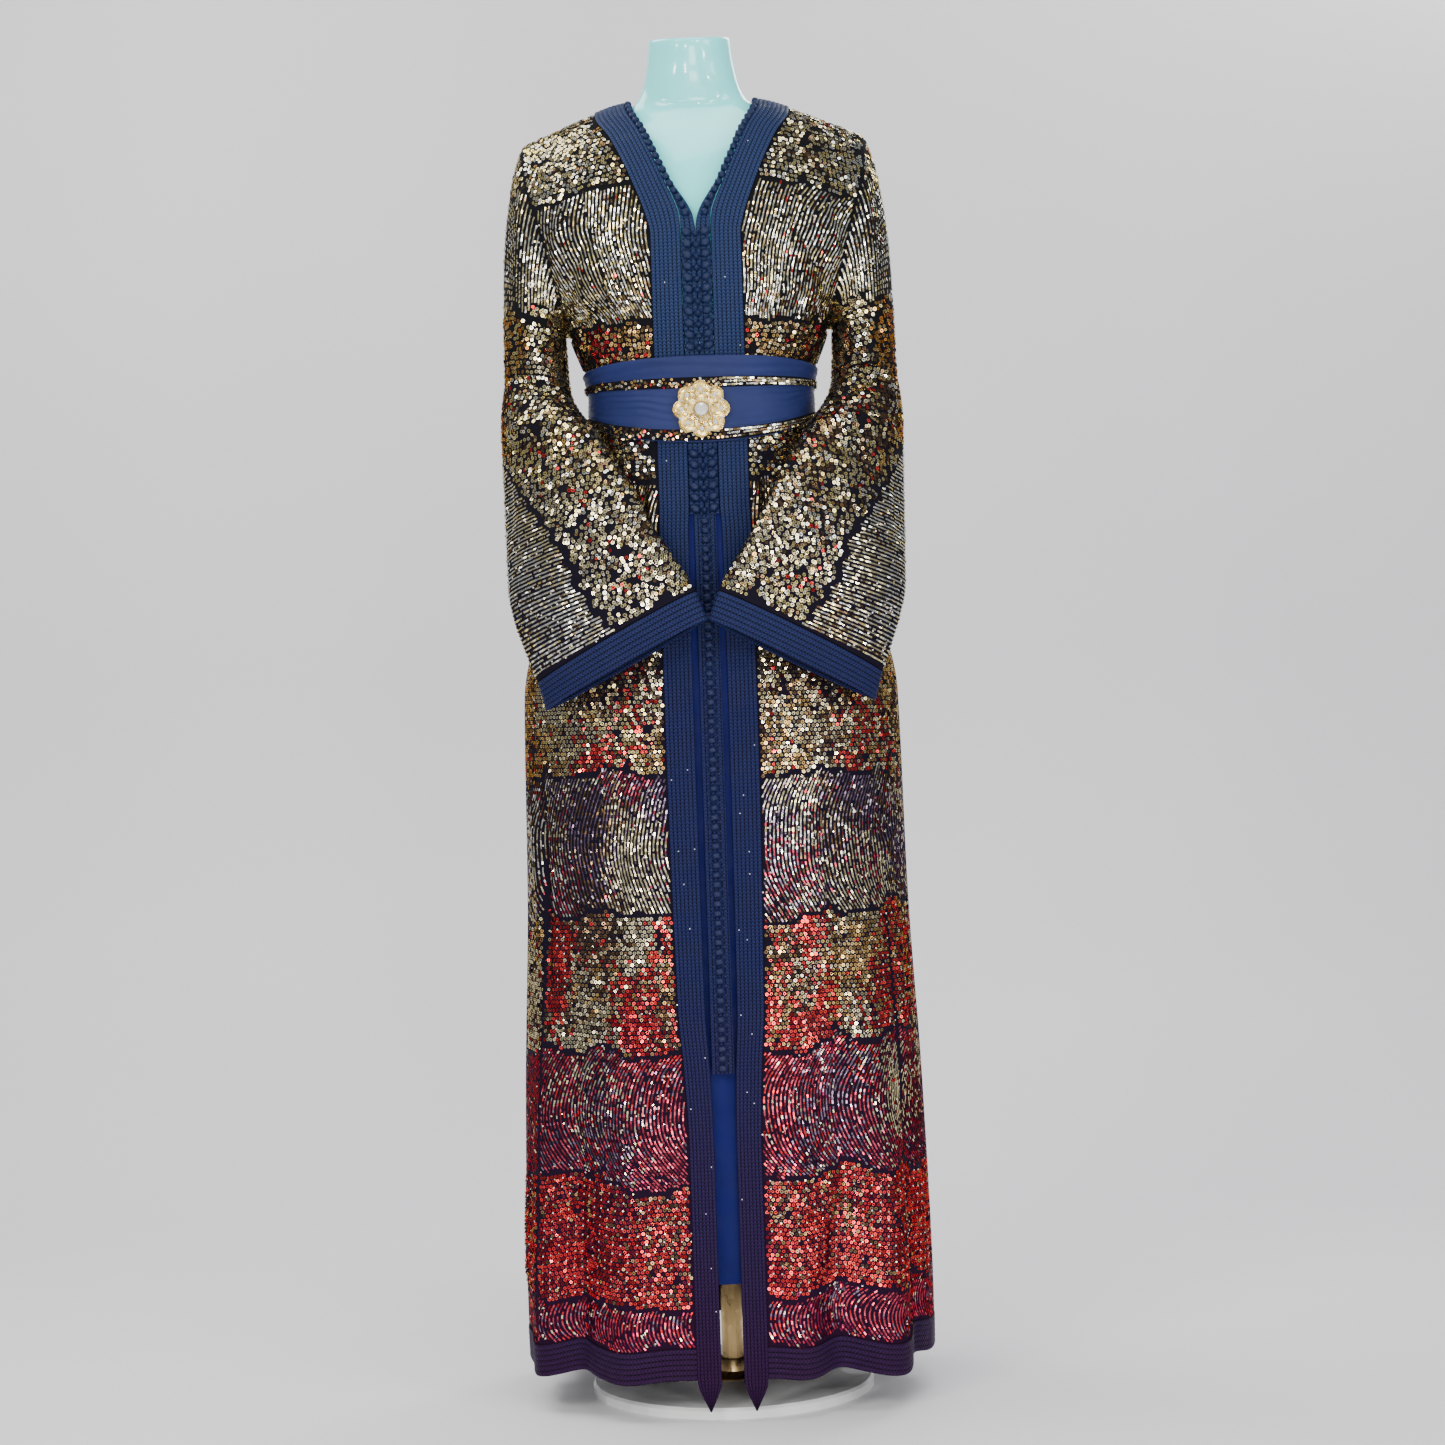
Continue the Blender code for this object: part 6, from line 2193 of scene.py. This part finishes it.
@dataclass(frozen=True)
class Knots:
    """Corded knots along the neck and down the front, on their narrow base bands."""

    body: KaftanBody
    belt: Belt
    base: float = 0.0010
    gap: float = 0.00075
    ridge: float = 0.0005
    side_cords: int = 2
    strip_cords: int = 5
    row_pitch: float = 0.0128
    neck_pitch: float = 0.0098
    strip_pitch: float = 0.0108
    strip_top: float = 1.015
    slit_top: float = 0.385
    strip_half_width: float = 0.0125
    neck_start: float = 1.350
    belt_clearance: float = 0.004
    lobe: tuple[float, float, float] = (0.0064, 0.0049, 0.0046)
    small_lobe: tuple[float, float, float] = (0.0036, 0.0042, 0.0050)
    bobble: tuple[float, float, float] = (0.0047, 0.0043, 0.0045)
    strip_ball: tuple[float, float, float] = (0.0054, 0.0042, 0.0040)
    strip_loop: tuple[float, float, float] = (0.0020, 0.0016, 0.0015)
    side_cut: Cut = Cut(0.018, 0.56, 0.0077)
    strip_cut: Cut = Cut(0.0264, 0.635)

    def band(self, node: str, levels: Array, edges: Surface, cords: int, looks: Finishes) -> Piece:
        """Make a base band.

        Args:
            node: its CAD node.
            levels: levels of its rows.
            edges: half-widths of its two edges at those levels.
            cords: number of its cords.
            looks: the materials.

        Returns:
            The band.
        """
        share, levels = np.linspace(0.0, 1.0, 4 * cords + 1), levels[:, None]
        low, high = (edge[:, None] for edge in edges)
        angles = self.body.angle_at(low + (high - low) * share, levels)
        points, normals = self.body.cloth(angles, levels)
        points[..., 1] = np.minimum(points[..., 1], -SEAM / 2)
        top = self.base / 2 + cord_ridges(share, cords, self.ridge)
        return lay_cloth(node + "_band", node, (points, normals), top,
                         -self.base / 2, looks.braid)

    def tie(self, parts: MeshParts, shape: tuple[Array, list], size: Array,
            place: tuple[float, float, float], turn: float = 0.0) -> None:
        """Tie one knot.

        Args:
            parts: where it goes.
            shape: points and faces of a knot of size 1.
            size: its half sizes.
            place: half-width, level and lift of its foot.
            turn: its turn about its axis.
        """
        x, level, lift = place
        angle = self.body.angle_at(np.array(x), np.array(level))
        point, out = self.body.cloth(angle, np.array(level))
        parts.add(placed(shape[0] * size, point + out * lift, out, turn), shape[1])

    def build(self, looks: Finishes) -> None:
        """Make the bands and the knots on them."""
        levels = np.linspace(self.strip_top + SEAM, self.body.shoulder_level - 2 * SEAM, 210)
        inner = FRONT_EDGES.read("knot_edge", levels)
        outer = FRONT_EDGES.read("panel_edge", levels) - self.gap
        for name, side in SIDES:
            band = self.band("knots_" + name, levels, (side * inner, side * outer),
                             self.side_cords, looks)
            knots = self.side_knots(name, side, looks)
            self.side_cut.declare(band, ("front_" + name + "_cloth",), knots)
        levels = np.linspace(self.slit_top, self.strip_top, 150)
        edge = np.full(levels.shape, self.strip_half_width)
        strip = self.band("knot_strip", levels, (-edge, edge), self.strip_cords, looks)
        self.strip_cut.declare(strip, ("lining_skirt",), self.strip_knots(looks))

    def rows(self) -> Array:
        """Levels of the double rows of knots, below and above the belt."""
        low = np.arange(self.strip_top + self.row_pitch / 2,
                        self.belt.low_front - self.belt_clearance, self.row_pitch)
        high = np.arange(self.belt.high_front + self.belt_clearance + self.row_pitch / 2,
                         self.neck_start - self.row_pitch / 3, self.row_pitch)
        return np.concatenate([low, high])

    def side_knots(self, name: str, side: float, looks: Finishes) -> Piece:
        """Tie the big lobes of the double row and the bobbles up one side of the neck.

        Args:
            name: the side in words.
            side: 1 for the wearer's left and -1 for the right.
            looks: the materials.

        Returns:
            The knots.
        """
        shape = dome(14, 7, 108.0, 0.085, 5, 2.6)
        rng = np.random.default_rng(60 + int(side))
        parts = MeshParts()
        for number, level in enumerate(self.rows()):
            self.tie(parts, shape, np.array(self.lobe) * rng.uniform(0.95, 1.05),
                     (side * 0.0105, level + 0.0006 * side, 0.0020),
                     side * radians(24 + rng.uniform(-4, 4)))
            if side > 0:
                self.tie(parts, shape, np.array(self.small_lobe), (0.0, level - 0.0026, 0.0022),
                         number * 0.7)
        fine = np.linspace(self.neck_start + 0.004, self.body.shoulder_level - 0.006, 400)
        width = (FRONT_EDGES.read("knot_edge", fine) + FRONT_EDGES.read("panel_edge", fine)) / 2
        run = run_along(self.body.surface(self.body.angle_at(width, fine), fine))
        places = np.arange(0.004, run[-1], self.neck_pitch)
        for level, x in zip(np.interp(places, run, fine), np.interp(places, run, width)):
            self.tie(parts, shape, np.array(self.bobble) * rng.uniform(0.95, 1.05),
                     (side * x, level, 0.0018), side * radians(40 + rng.uniform(-8, 8)))
        return parts.piece("knots_" + name + "_cords", [looks.cord], "navy_braid")

    def strip_knots(self, looks: Finishes) -> Piece:
        """Tie the single column of knots below the double row."""
        shape = dome(14, 7, 108.0, 0.085, 4, 2.4)
        rng = np.random.default_rng(66)
        parts = MeshParts()
        for level in np.arange(self.slit_top + 0.006, self.strip_top - 0.004, self.strip_pitch):
            self.tie(parts, shape, np.array(self.strip_ball) * rng.uniform(0.95, 1.05),
                     (rng.uniform(-0.0003, 0.0003), level, 0.0010), rng.uniform(-0.15, 0.15))
            for side in (1.0, -1.0):
                self.tie(parts, shape, np.array(self.strip_loop),
                         (side * 0.0064, level + self.strip_pitch / 2, 0.0006))
        return parts.piece("knot_strip_cords", [looks.cord], "navy_braid")


@dataclass(frozen=True)
class Sleeves:
    """Both sleeves with their sequins and braid cuffs."""

    body: KaftanBody
    cloth: float = 0.0018
    columns: int = 52
    cuff_wall: float = 0.0024
    cuff_cords: int = 6
    cuff_columns: int = 120
    cut: Cut = Cut(0.575, 0.656, 0.185)
    cuff_cut: Cut = Cut(0.444, 0.036)

    def build(self, looks: Finishes) -> None:
        """Make both sleeves."""
        for (name, side), creases, seed in zip(SIDES, (LEFT_SLEEVE_CREASES, RIGHT_SLEEVE_CREASES),
                                               (81, 93)):
            shape = Sleeve(self.body, side, creases)
            sleeve = self.sleeve("sleeve_" + name, shape, looks)
            work = SequinWork(seed)
            SleevePattern(shape).sew(work)
            self.cut.declare(sleeve, ("front_" + name + "_cloth",),
                             work.piece("sequins_sleeve_" + name, looks))
            cuff = self.cuff("cuff_" + name, shape, looks)
            self.cuff_cut.declare(cuff, ("sleeve_" + name + "_cloth",))

    def sleeve(self, node: str, shape: Sleeve, looks: Finishes) -> Piece:
        """Make one sleeve's cloth.

        Args:
            node: its CAD node.
            shape: the sleeve's surface.
            looks: the materials.

        Returns:
            The sleeve.
        """
        turn = full_turn(self.columns)
        stations = np.concatenate([np.linspace(0.0, 1.0, 22, endpoint=False),
                                   np.linspace(1.0, shape.cuff_station, 72)])[:, None]
        points, normals = shape.surface(stations, turn), shape.normal(stations, turn)
        share = np.sin(turn / 2)[:, None] ** 2
        normals[0] = unit(share * shape.armhole(turn)[1] * shape.flip + (1 - share) * normals[0])
        return lay_cloth(node + "_cloth", node, (points, normals), 0.0,
                         -self.cloth, looks.ground, True)

    def cuff(self, node: str, shape: Sleeve, looks: Finishes) -> Piece:
        """Make one braid cuff.

        Args:
            node: its CAD node.
            shape: the sleeve's surface.
            looks: the materials.

        Returns:
            The cuff.
        """
        turn = full_turn(self.cuff_columns)
        share = np.linspace(0.0, 1.0, 3 * self.cuff_cords + 1)[:, None]
        first = shape.cuff_station + shape.cuff_gap
        stations = first + (shape.edge_station - first) * share
        surface = shape.surface(stations, turn), shape.normal(stations, turn)
        return lay_cloth(node + "_braid", node, surface,
                         cord_ridges(share, self.cuff_cords), -self.cuff_wall, looks.fine_braid,
                         True, True)


@dataclass(frozen=True)
class Lining:
    """The blue inner skirt with its turned hem."""

    body: KaftanBody
    top: float = 1.170
    hem: float = 0.150
    turning: float = 0.022
    turning_depth: float = 0.0006
    rows: int = 96
    columns: int = 120
    cloth: float = 0.0012
    fold_share: float = 0.30
    cut: Cut = Cut(1.26, 1.03, 1.10)

    def build(self, looks: Finishes) -> None:
        """Make the lining."""
        angle = full_turn(self.columns)
        levels = np.linspace(self.hem, self.top, self.rows)[:, None]
        inset = LINING_INSET.read("inset", levels)
        hem = self.turning_depth * smooth_step((self.hem + self.turning - levels) / 0.002)
        surface = (self.body.surface(angle, levels, self.fold_share, creased=False),
                   self.body.normal(angle, levels, 0.0, creased=False))
        piece = lay_cloth("lining_skirt", "lining", surface, hem - inset,
                          -inset - self.cloth, looks.lining, True)
        self.cut.declare(piece, ("form_body",))


@dataclass(frozen=True)
class Buckle:
    """The petalled filigree buckle with its stones."""

    body: KaftanBody
    belt: Belt
    level: float = 1.135
    radius: float = 0.0325
    petals: int = 8
    petal_depth: float = 0.0055
    wall: float = 0.0030
    stone_radius: float = 0.0085
    stone_height: float = 0.0060
    stone_sides: int = 16
    claws: int = 8

    def at(self, x: Array, height: Array, lift: Array | float) -> Array:
        """Find points over the front of the belt.

        Args:
            x: half-widths of the points.
            height: their heights above the buckle's centre.
            lift: how far they lie above the buckle's back.

        Returns:
            The points.
        """
        level = self.level + height
        front = self.body.surface(self.body.angle_at(x, level), level, creased=False)
        y = front[..., 1] - (self.belt.trim_base + self.belt.trim_wall + 2 * SEAM) - lift
        return np.stack(np.broadcast_arrays(x, y, level), axis=-1)

    def around(self, radius: Array | float, turn: Array | float, lift: Array | float) -> Array:
        """Points at a radius and a turn from the top."""
        return self.at(radius * np.sin(turn), radius * np.cos(turn), lift)

    def outline(self, turn: Array | float) -> Array:
        """Radius of the petalled edge."""
        return self.radius - self.petal_depth * (1 - np.abs(np.cos(turn * self.petals / 2)))

    def build(self, looks: Finishes) -> None:
        """Make the gold work, the small crystals and the centre stone."""
        gold = MeshParts()
        turn, ring = full_turn(160), full_turn(72)
        self.plate(gold, turn)
        for radius, at, lift, wire in (
                (self.outline(turn) - 0.0004, turn, 0.0004, 0.0008),
                (self.outline(turn) * 0.80 - 0.0012, turn, 0.0016, 0.0006),
                (self.stone_radius + 0.0012, ring, 0.0012, 0.0008),
                (self.stone_radius + 0.0040, ring, 0.0012, 0.0005)):
            gold.add(*tube(self.around(radius, at, self.wall + lift), wire, 6, True))
        self.scrolls(gold)
        self.grains(gold)
        self.grip(gold)
        gold.piece("buckle_filigree", [looks.gold], "gold_metal", ("buckle",))
        crystals, centre = MeshParts(), MeshParts()
        self.small_stones(crystals)
        crystals.piece("buckle_crystals", [looks.crystal], "clear_stone", smooth=False)
        self.cut_stone(centre, (0.0, 0.0, -0.0006), self.stone_radius, self.stone_height,
                       self.stone_sides)
        centre.piece("buckle_centre_stone", [looks.crystal], "clear_stone", ("buckle_stone",), False)

    def plate(self, parts: MeshParts, turn: Array) -> None:
        """Make the petalled plate with its relief.

        Args:
            parts: where it goes.
            turn: turns of its columns.
        """
        hole = self.stone_radius + SEAM
        share = np.linspace(0.0, 1.0, 16)[:, None]
        radius = hole + (self.outline(turn) - hole) * share
        petal = np.abs(np.cos(turn * self.petals / 2)) ** 0.6
        relief = 0.0015 * np.sin(pi * share) ** 0.7 * (0.25 + 0.75 * petal)
        sides = [self.around(radius, turn, lift) for lift in (self.wall + relief, 0.0)]
        rows, columns = radius.shape
        quads, size = ring_quads(rows, columns), rows * columns
        rim = np.arange(columns)
        after = np.roll(rim, -1)
        last = size - columns
        rims = [np.stack(edge, axis=1) for edge in (
            (rim, after, size + after, size + rim),
            (last + after, last + rim, size + last + rim, size + last + after))]
        parts.add(np.concatenate([side.reshape(-1, 3) for side in sides]),
                  np.concatenate([quads, quads[:, ::-1] + size, *rims]))

    def scrolls(self, parts: MeshParts) -> None:
        """Bend a teardrop and two scrolls of wire on each petal."""
        turn, wind = full_turn(30), np.linspace(0.0, 3.6 * pi, 34)
        size = 0.0021 * (1 - wind / (4.4 * pi))
        wires = [(0.0215 + 0.0052 * np.cos(turn), 0.0034 * np.sin(turn) * (1 - 0.25 * np.cos(turn)),
                  (0.0005, 6, True))]
        wires += [(0.0150 + size * np.cos(wind), side * (0.0036 + size * np.sin(wind)), (0.0004, 5))
                  for side in (1.0, -1.0)]
        for centre in full_turn(self.petals):
            for along, across, wire in wires:
                x = along * np.sin(centre) + across * np.cos(centre)
                height = along * np.cos(centre) - across * np.sin(centre)
                parts.add(*tube(self.at(x, height, self.wall + 0.0020), *wire))

    def grains(self, parts: MeshParts) -> None:
        """Solder on rows of small gold grains."""
        shape, faces = dome(8, 4, 100.0)
        for count, share, inset, lift, size in ((112, 1.0, -0.0019, 0.0008, 0.0009),
                                                (64, 0.56, 0.0, 0.0018, 0.0008)):
            turn = full_turn(count)
            for spot in self.around(self.outline(turn) * share + inset, turn, self.wall + lift):
                parts.add(placed(shape * size, spot, np.array([0.0, -1.0, 0.0])), faces)

    def grip(self, parts: MeshParts) -> None:
        """Bend the claws that hold the centre stone."""
        rise = np.linspace(0.0, 1.0, 6)
        radius = self.stone_radius + 0.0009 - 0.0020 * rise ** 2
        for turn in full_turn(self.claws) + pi / self.claws:
            path = self.around(radius, turn, self.wall + 0.0026 * rise)
            parts.add(*tube(path, 0.0006, 6, reference=(np.cos(turn), 0.0, -np.sin(turn))))

    def small_stones(self, parts: MeshParts) -> None:
        """Set small crystals in the petals and between them."""
        for count, radius, offset, size, lift in (
                (8, 0.0225, 0.0, 0.0026, 0.0016), (8, 0.0262, 0.5, 0.0015, 0.0012),
                (16, 0.0178, 0.5, 0.0014, 0.0020), (16, 0.0118, 0.25, 0.0011, 0.0014),
                (32, 0.0272, 0.25, 0.0008, 0.0010)):
            for turn in (np.arange(count) + offset) * 2 * pi / count:
                out = radius * (self.outline(turn) / self.radius if radius > 0.0265 else 1.0)
                place = (out * np.sin(turn), out * np.cos(turn), self.wall + lift)
                self.cut_stone(parts, place, size, size * 0.75, 8)

    def cut_stone(self, parts: MeshParts, place: tuple[float, float, float], radius: float,
                  rise: float, sides: int) -> None:
        """Cut a faceted stone: girdle, crown and table.

        Args:
            parts: where it goes.
            place: half-width, height and lift of its foot.
            radius: its radius.
            rise: its height.
            sides: sides of its girdle.
        """
        x, height, lift = place
        rings = []
        for share, up, shift in ((1.0, 0.0, 0.0), (1.0, 0.30, 0.0), (0.80, 0.72, 0.5), (0.50, 1.0, 0.0)):
            at = full_turn(sides) + shift * 2 * pi / sides
            rings.append(self.at(x + radius * share * np.sin(at), height + radius * share * np.cos(at),
                                 lift + rise * up))
        quads = ring_quads(4, sides).tolist()
        faces = quads[:sides]
        for a, b, d, c in quads[sides:2 * sides]:
            faces += [[a, b, c], [b, d, c]]
        for a, b, d, c in quads[2 * sides:]:
            faces += [[a, d, c], [a, b, d]]
        parts.add(np.concatenate(rings), faces + [list(range(3 * sides, 4 * sides))])


@dataclass(frozen=True)
class DressForm:
    """The limbless form: its gloss body, and fittings on the pole."""

    top_tilt: float = 0.21
    tilt_start: float = 1.53
    top_round: float = 0.0040
    bottom_round: float = 0.0090
    base_height: float = 0.012
    columns: int = 112
    fitting_columns: int = 48
    screw_radius: float = 0.0026

    def ring(self, height: float, inset: float) -> Array:
        """One ring of the body.

        Args:
            height: its height.
            inset: how far it is drawn in.

        Returns:
            Its points.
        """
        half_width, front, back, centre, roundness = (float(FORM_RINGS.read(column, height))
                                                      for column in FORM_RINGS.columns)
        turn = full_turn(self.columns)
        sine, cosine = np.sin(turn), np.cos(turn)
        x = half_width * np.sign(sine) * np.abs(sine) ** (2 / roundness)
        y = -np.where(cosine > 0, front, back) * np.sign(cosine) * np.abs(cosine) ** (2 / roundness)
        keep = 1 - inset / np.hypot(x, y)
        x, y = x * keep, y * keep + centre
        end = FORM_RINGS.places[-1]
        tilt = float(smooth_step((height - self.tilt_start) / (end - self.tilt_start)))
        return np.stack([x, y, height + self.top_tilt * tilt * y], axis=-1)

    def build(self, looks: Finishes) -> None:
        """Make the body and the fittings."""
        low, high = FORM_RINGS.places[[0, -1]]
        quarter = np.linspace(0.0, pi / 2, 7)
        levels = [(low + self.bottom_round * (1 - np.cos(angle)),
                   self.bottom_round * (1 - np.sin(angle))) for angle in quarter]
        levels += [(height, 0.0) for height in np.linspace(
            low + self.bottom_round, high - self.top_round, 120)[1:-1]]
        levels += [(high - self.top_round * (1 - np.sin(angle)),
                    self.top_round * (1 - np.cos(angle))) for angle in quarter]
        ends = [list(range(self.columns))[::-1],
                [(len(levels) - 1) * self.columns + i for i in range(self.columns)]]
        parts = MeshParts()
        parts.add(np.stack([self.ring(float(height), inset) for height, inset in levels]),
                  ring_quads(len(levels), self.columns).tolist() + ends)
        parts.piece("form_body", [looks.form], "pale_gloss_shell", ("form_torso",))
        self.fittings(looks)

    def fittings(self, looks: Finishes) -> None:
        """Make the collar under the body, the hub on the plate and their screws."""
        parts = MeshParts()
        collar = ((0.0130, 0.7660), (0.0215, 0.7660), (0.0225, 0.7670), (0.0225, 0.7785),
                  (0.0215, 0.7795), (0.0130, 0.7795))
        hub = ((0.0128, 0.0002), (0.0340, 0.0002), (0.0345, 0.0015), (0.0300, 0.0040),
               (0.0190, 0.0075), (0.0175, 0.0200), (0.0165, 0.0215), (0.0130, 0.0215))
        turn = full_turn(self.fitting_columns)
        for profile, foot in ((collar, 0.0), (hub, self.base_height)):
            radius, height = (np.array(column)[:, None] for column in zip(*profile))
            ring = (radius * np.cos(turn), radius * np.sin(turn), foot + height)
            parts.add(np.stack(np.broadcast_arrays(*ring), axis=-1),
                      ring_quads(len(profile), self.fitting_columns))
        for height in (0.7728, self.base_height + 0.0140):
            path = np.array([[0.0, 0.0150 + 0.0022 * i, height] for i in range(5)])
            parts.add(*tube(path, self.screw_radius, 12, reference=(0.0, 0.0, 1.0)))
        parts.piece("form_fittings", [looks.brass], "brass_pole")


class Lamp(NamedTuple):
    """A square soft light aimed at the kaftan's middle."""

    name: str
    place: tuple[float, float, float]
    size: float
    power: float
    colour: Colour = (1.0, 1.0, 1.0)


LAMPS = [
    Lamp("Key", (-1.7, -2.6, 2.6), 1.0, 40.0, (1.0, 0.97, 0.93)),
    Lamp("Fill", (2.3, -2.2, 1.7), 1.0, 24.0, (0.94, 0.97, 1.0)),
    Lamp("Top", (0.2, -0.6, 3.3), 1.4, 30.0),
    Lamp("Low", (0.3, -2.8, 0.4), 0.8, 24.0, (1.0, 0.98, 0.96)),
    Lamp("Back", (1.2, 2.0, 2.6), 1.4, 54.0),
    Lamp("Wall", (-1.6, 0.6, 3.0), 1.6, 50.0),
] + [Lamp("Sparkle %d" % number, place, 0.15, 6.0, (1.0, 0.98, 0.95)) for number, place in enumerate((
    (-0.9, -2.4, 1.9), (1.0, -2.5, 1.5), (-0.5, -2.6, 0.9), (0.7, -2.4, 2.3), (-1.4, -2.0, 1.2),
    (0.3, -2.7, 1.8), (1.5, -2.0, 0.8)))]


@dataclass(frozen=True)
class Studio:
    """Backdrop, lights and camera."""

    camera_at: tuple[float, float, float] = (0.0123, -3.3, 0.778)
    roll: float = 1.9
    lens: float = 69.96
    sensor: float = 36.0
    aim: tuple[float, float, float] = (0.0, 0.0, 0.85)
    half_width: float = 5.0
    curve_start: float = 1.2
    curve_radius: float = 0.9
    surroundings: tuple[float, float, float, float] = (0.80, 0.81, 0.84, 1.0)
    strength: float = 0.34

    def build(self, looks: Finishes) -> None:
        """Set up the studio."""
        self.backdrop(looks)
        for lamp in LAMPS:
            self.light(lamp)
        world = bpy.data.worlds.new("Studio")
        world.use_nodes = True
        background = world.node_tree.nodes["Background"]
        background.inputs["Color"].default_value = self.surroundings
        background.inputs["Strength"].default_value = self.strength
        bpy.context.scene.world = world
        self.camera()

    def backdrop(self, looks: Finishes) -> None:
        """Lay a pale floor that curves up into a wall."""
        curve, wall = np.linspace(0, pi / 2, 18)[1:], self.curve_start + self.curve_radius
        profile = [(y, 0.0) for y in (-4.5, -2.0, 0.0, self.curve_start)]
        profile += [(self.curve_start + self.curve_radius * np.sin(a),
                     self.curve_radius * (1 - np.cos(a))) for a in curve]
        profile += [(wall, 2.5), (wall, 4.5)]
        parts = MeshParts()
        corners = grid_faces(len(profile), 2, False)
        parts.add(np.array([[(x, y, z) for x in (-self.half_width, self.half_width)]
                            for y, z in profile]), corners[..., 0] * 2 + corners[..., 1])
        floor = bpy.data.objects.new("Backdrop", parts.mesh("Backdrop", [looks.floor]))
        bpy.context.scene.collection.objects.link(floor)

    def light(self, lamp: Lamp) -> None:
        """Hang one lamp."""
        data = bpy.data.lights.new(lamp.name, "AREA")
        data.energy, data.size, data.color = lamp.power, lamp.size, lamp.colour
        made = bpy.data.objects.new(lamp.name, data)
        made.location = lamp.place
        aim = Vector(self.aim) - Vector(lamp.place)
        made.rotation_euler = aim.to_track_quat("-Z", "Y").to_euler()
        bpy.context.scene.collection.objects.link(made)

    def camera(self) -> None:
        """Set up the photograph's camera."""
        data = bpy.data.cameras.new("Camera")
        data.lens, data.sensor_width = self.lens, self.sensor
        camera = bpy.data.objects.new("Camera", data)
        c, s = np.cos(radians(self.roll)), np.sin(radians(self.roll))
        axes = Matrix(((c, s, 0.0), (0.0, 0.0, -1.0), (-s, c, 0.0)))
        camera.matrix_world = Matrix.Translation(self.camera_at) @ axes.to_4x4()
        bpy.context.scene.collection.objects.link(camera)
        bpy.context.scene.camera = camera


def main() -> None:
    """Build the kaftan over its frame."""
    logging.basicConfig(level=logging.INFO, format="%(name)s: %(message)s")
    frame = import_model()
    looks = Finishes()
    body = KaftanBody()
    belt = Belt(body)
    for part in (DressForm(), Lining(body), Panels(body, belt), Sleeves(body), Braids(body),
                 Knots(body, belt), belt, Buckle(body, belt)):
        part.build(looks)
    for node, look in (("form_pole", looks.brass), ("form_base", looks.painted)):
        frame["nodes"][node].data.materials.clear()
        frame["nodes"][node].data.materials.append(look)
    Studio().build(looks)


if __name__ == "__main__":
    main()
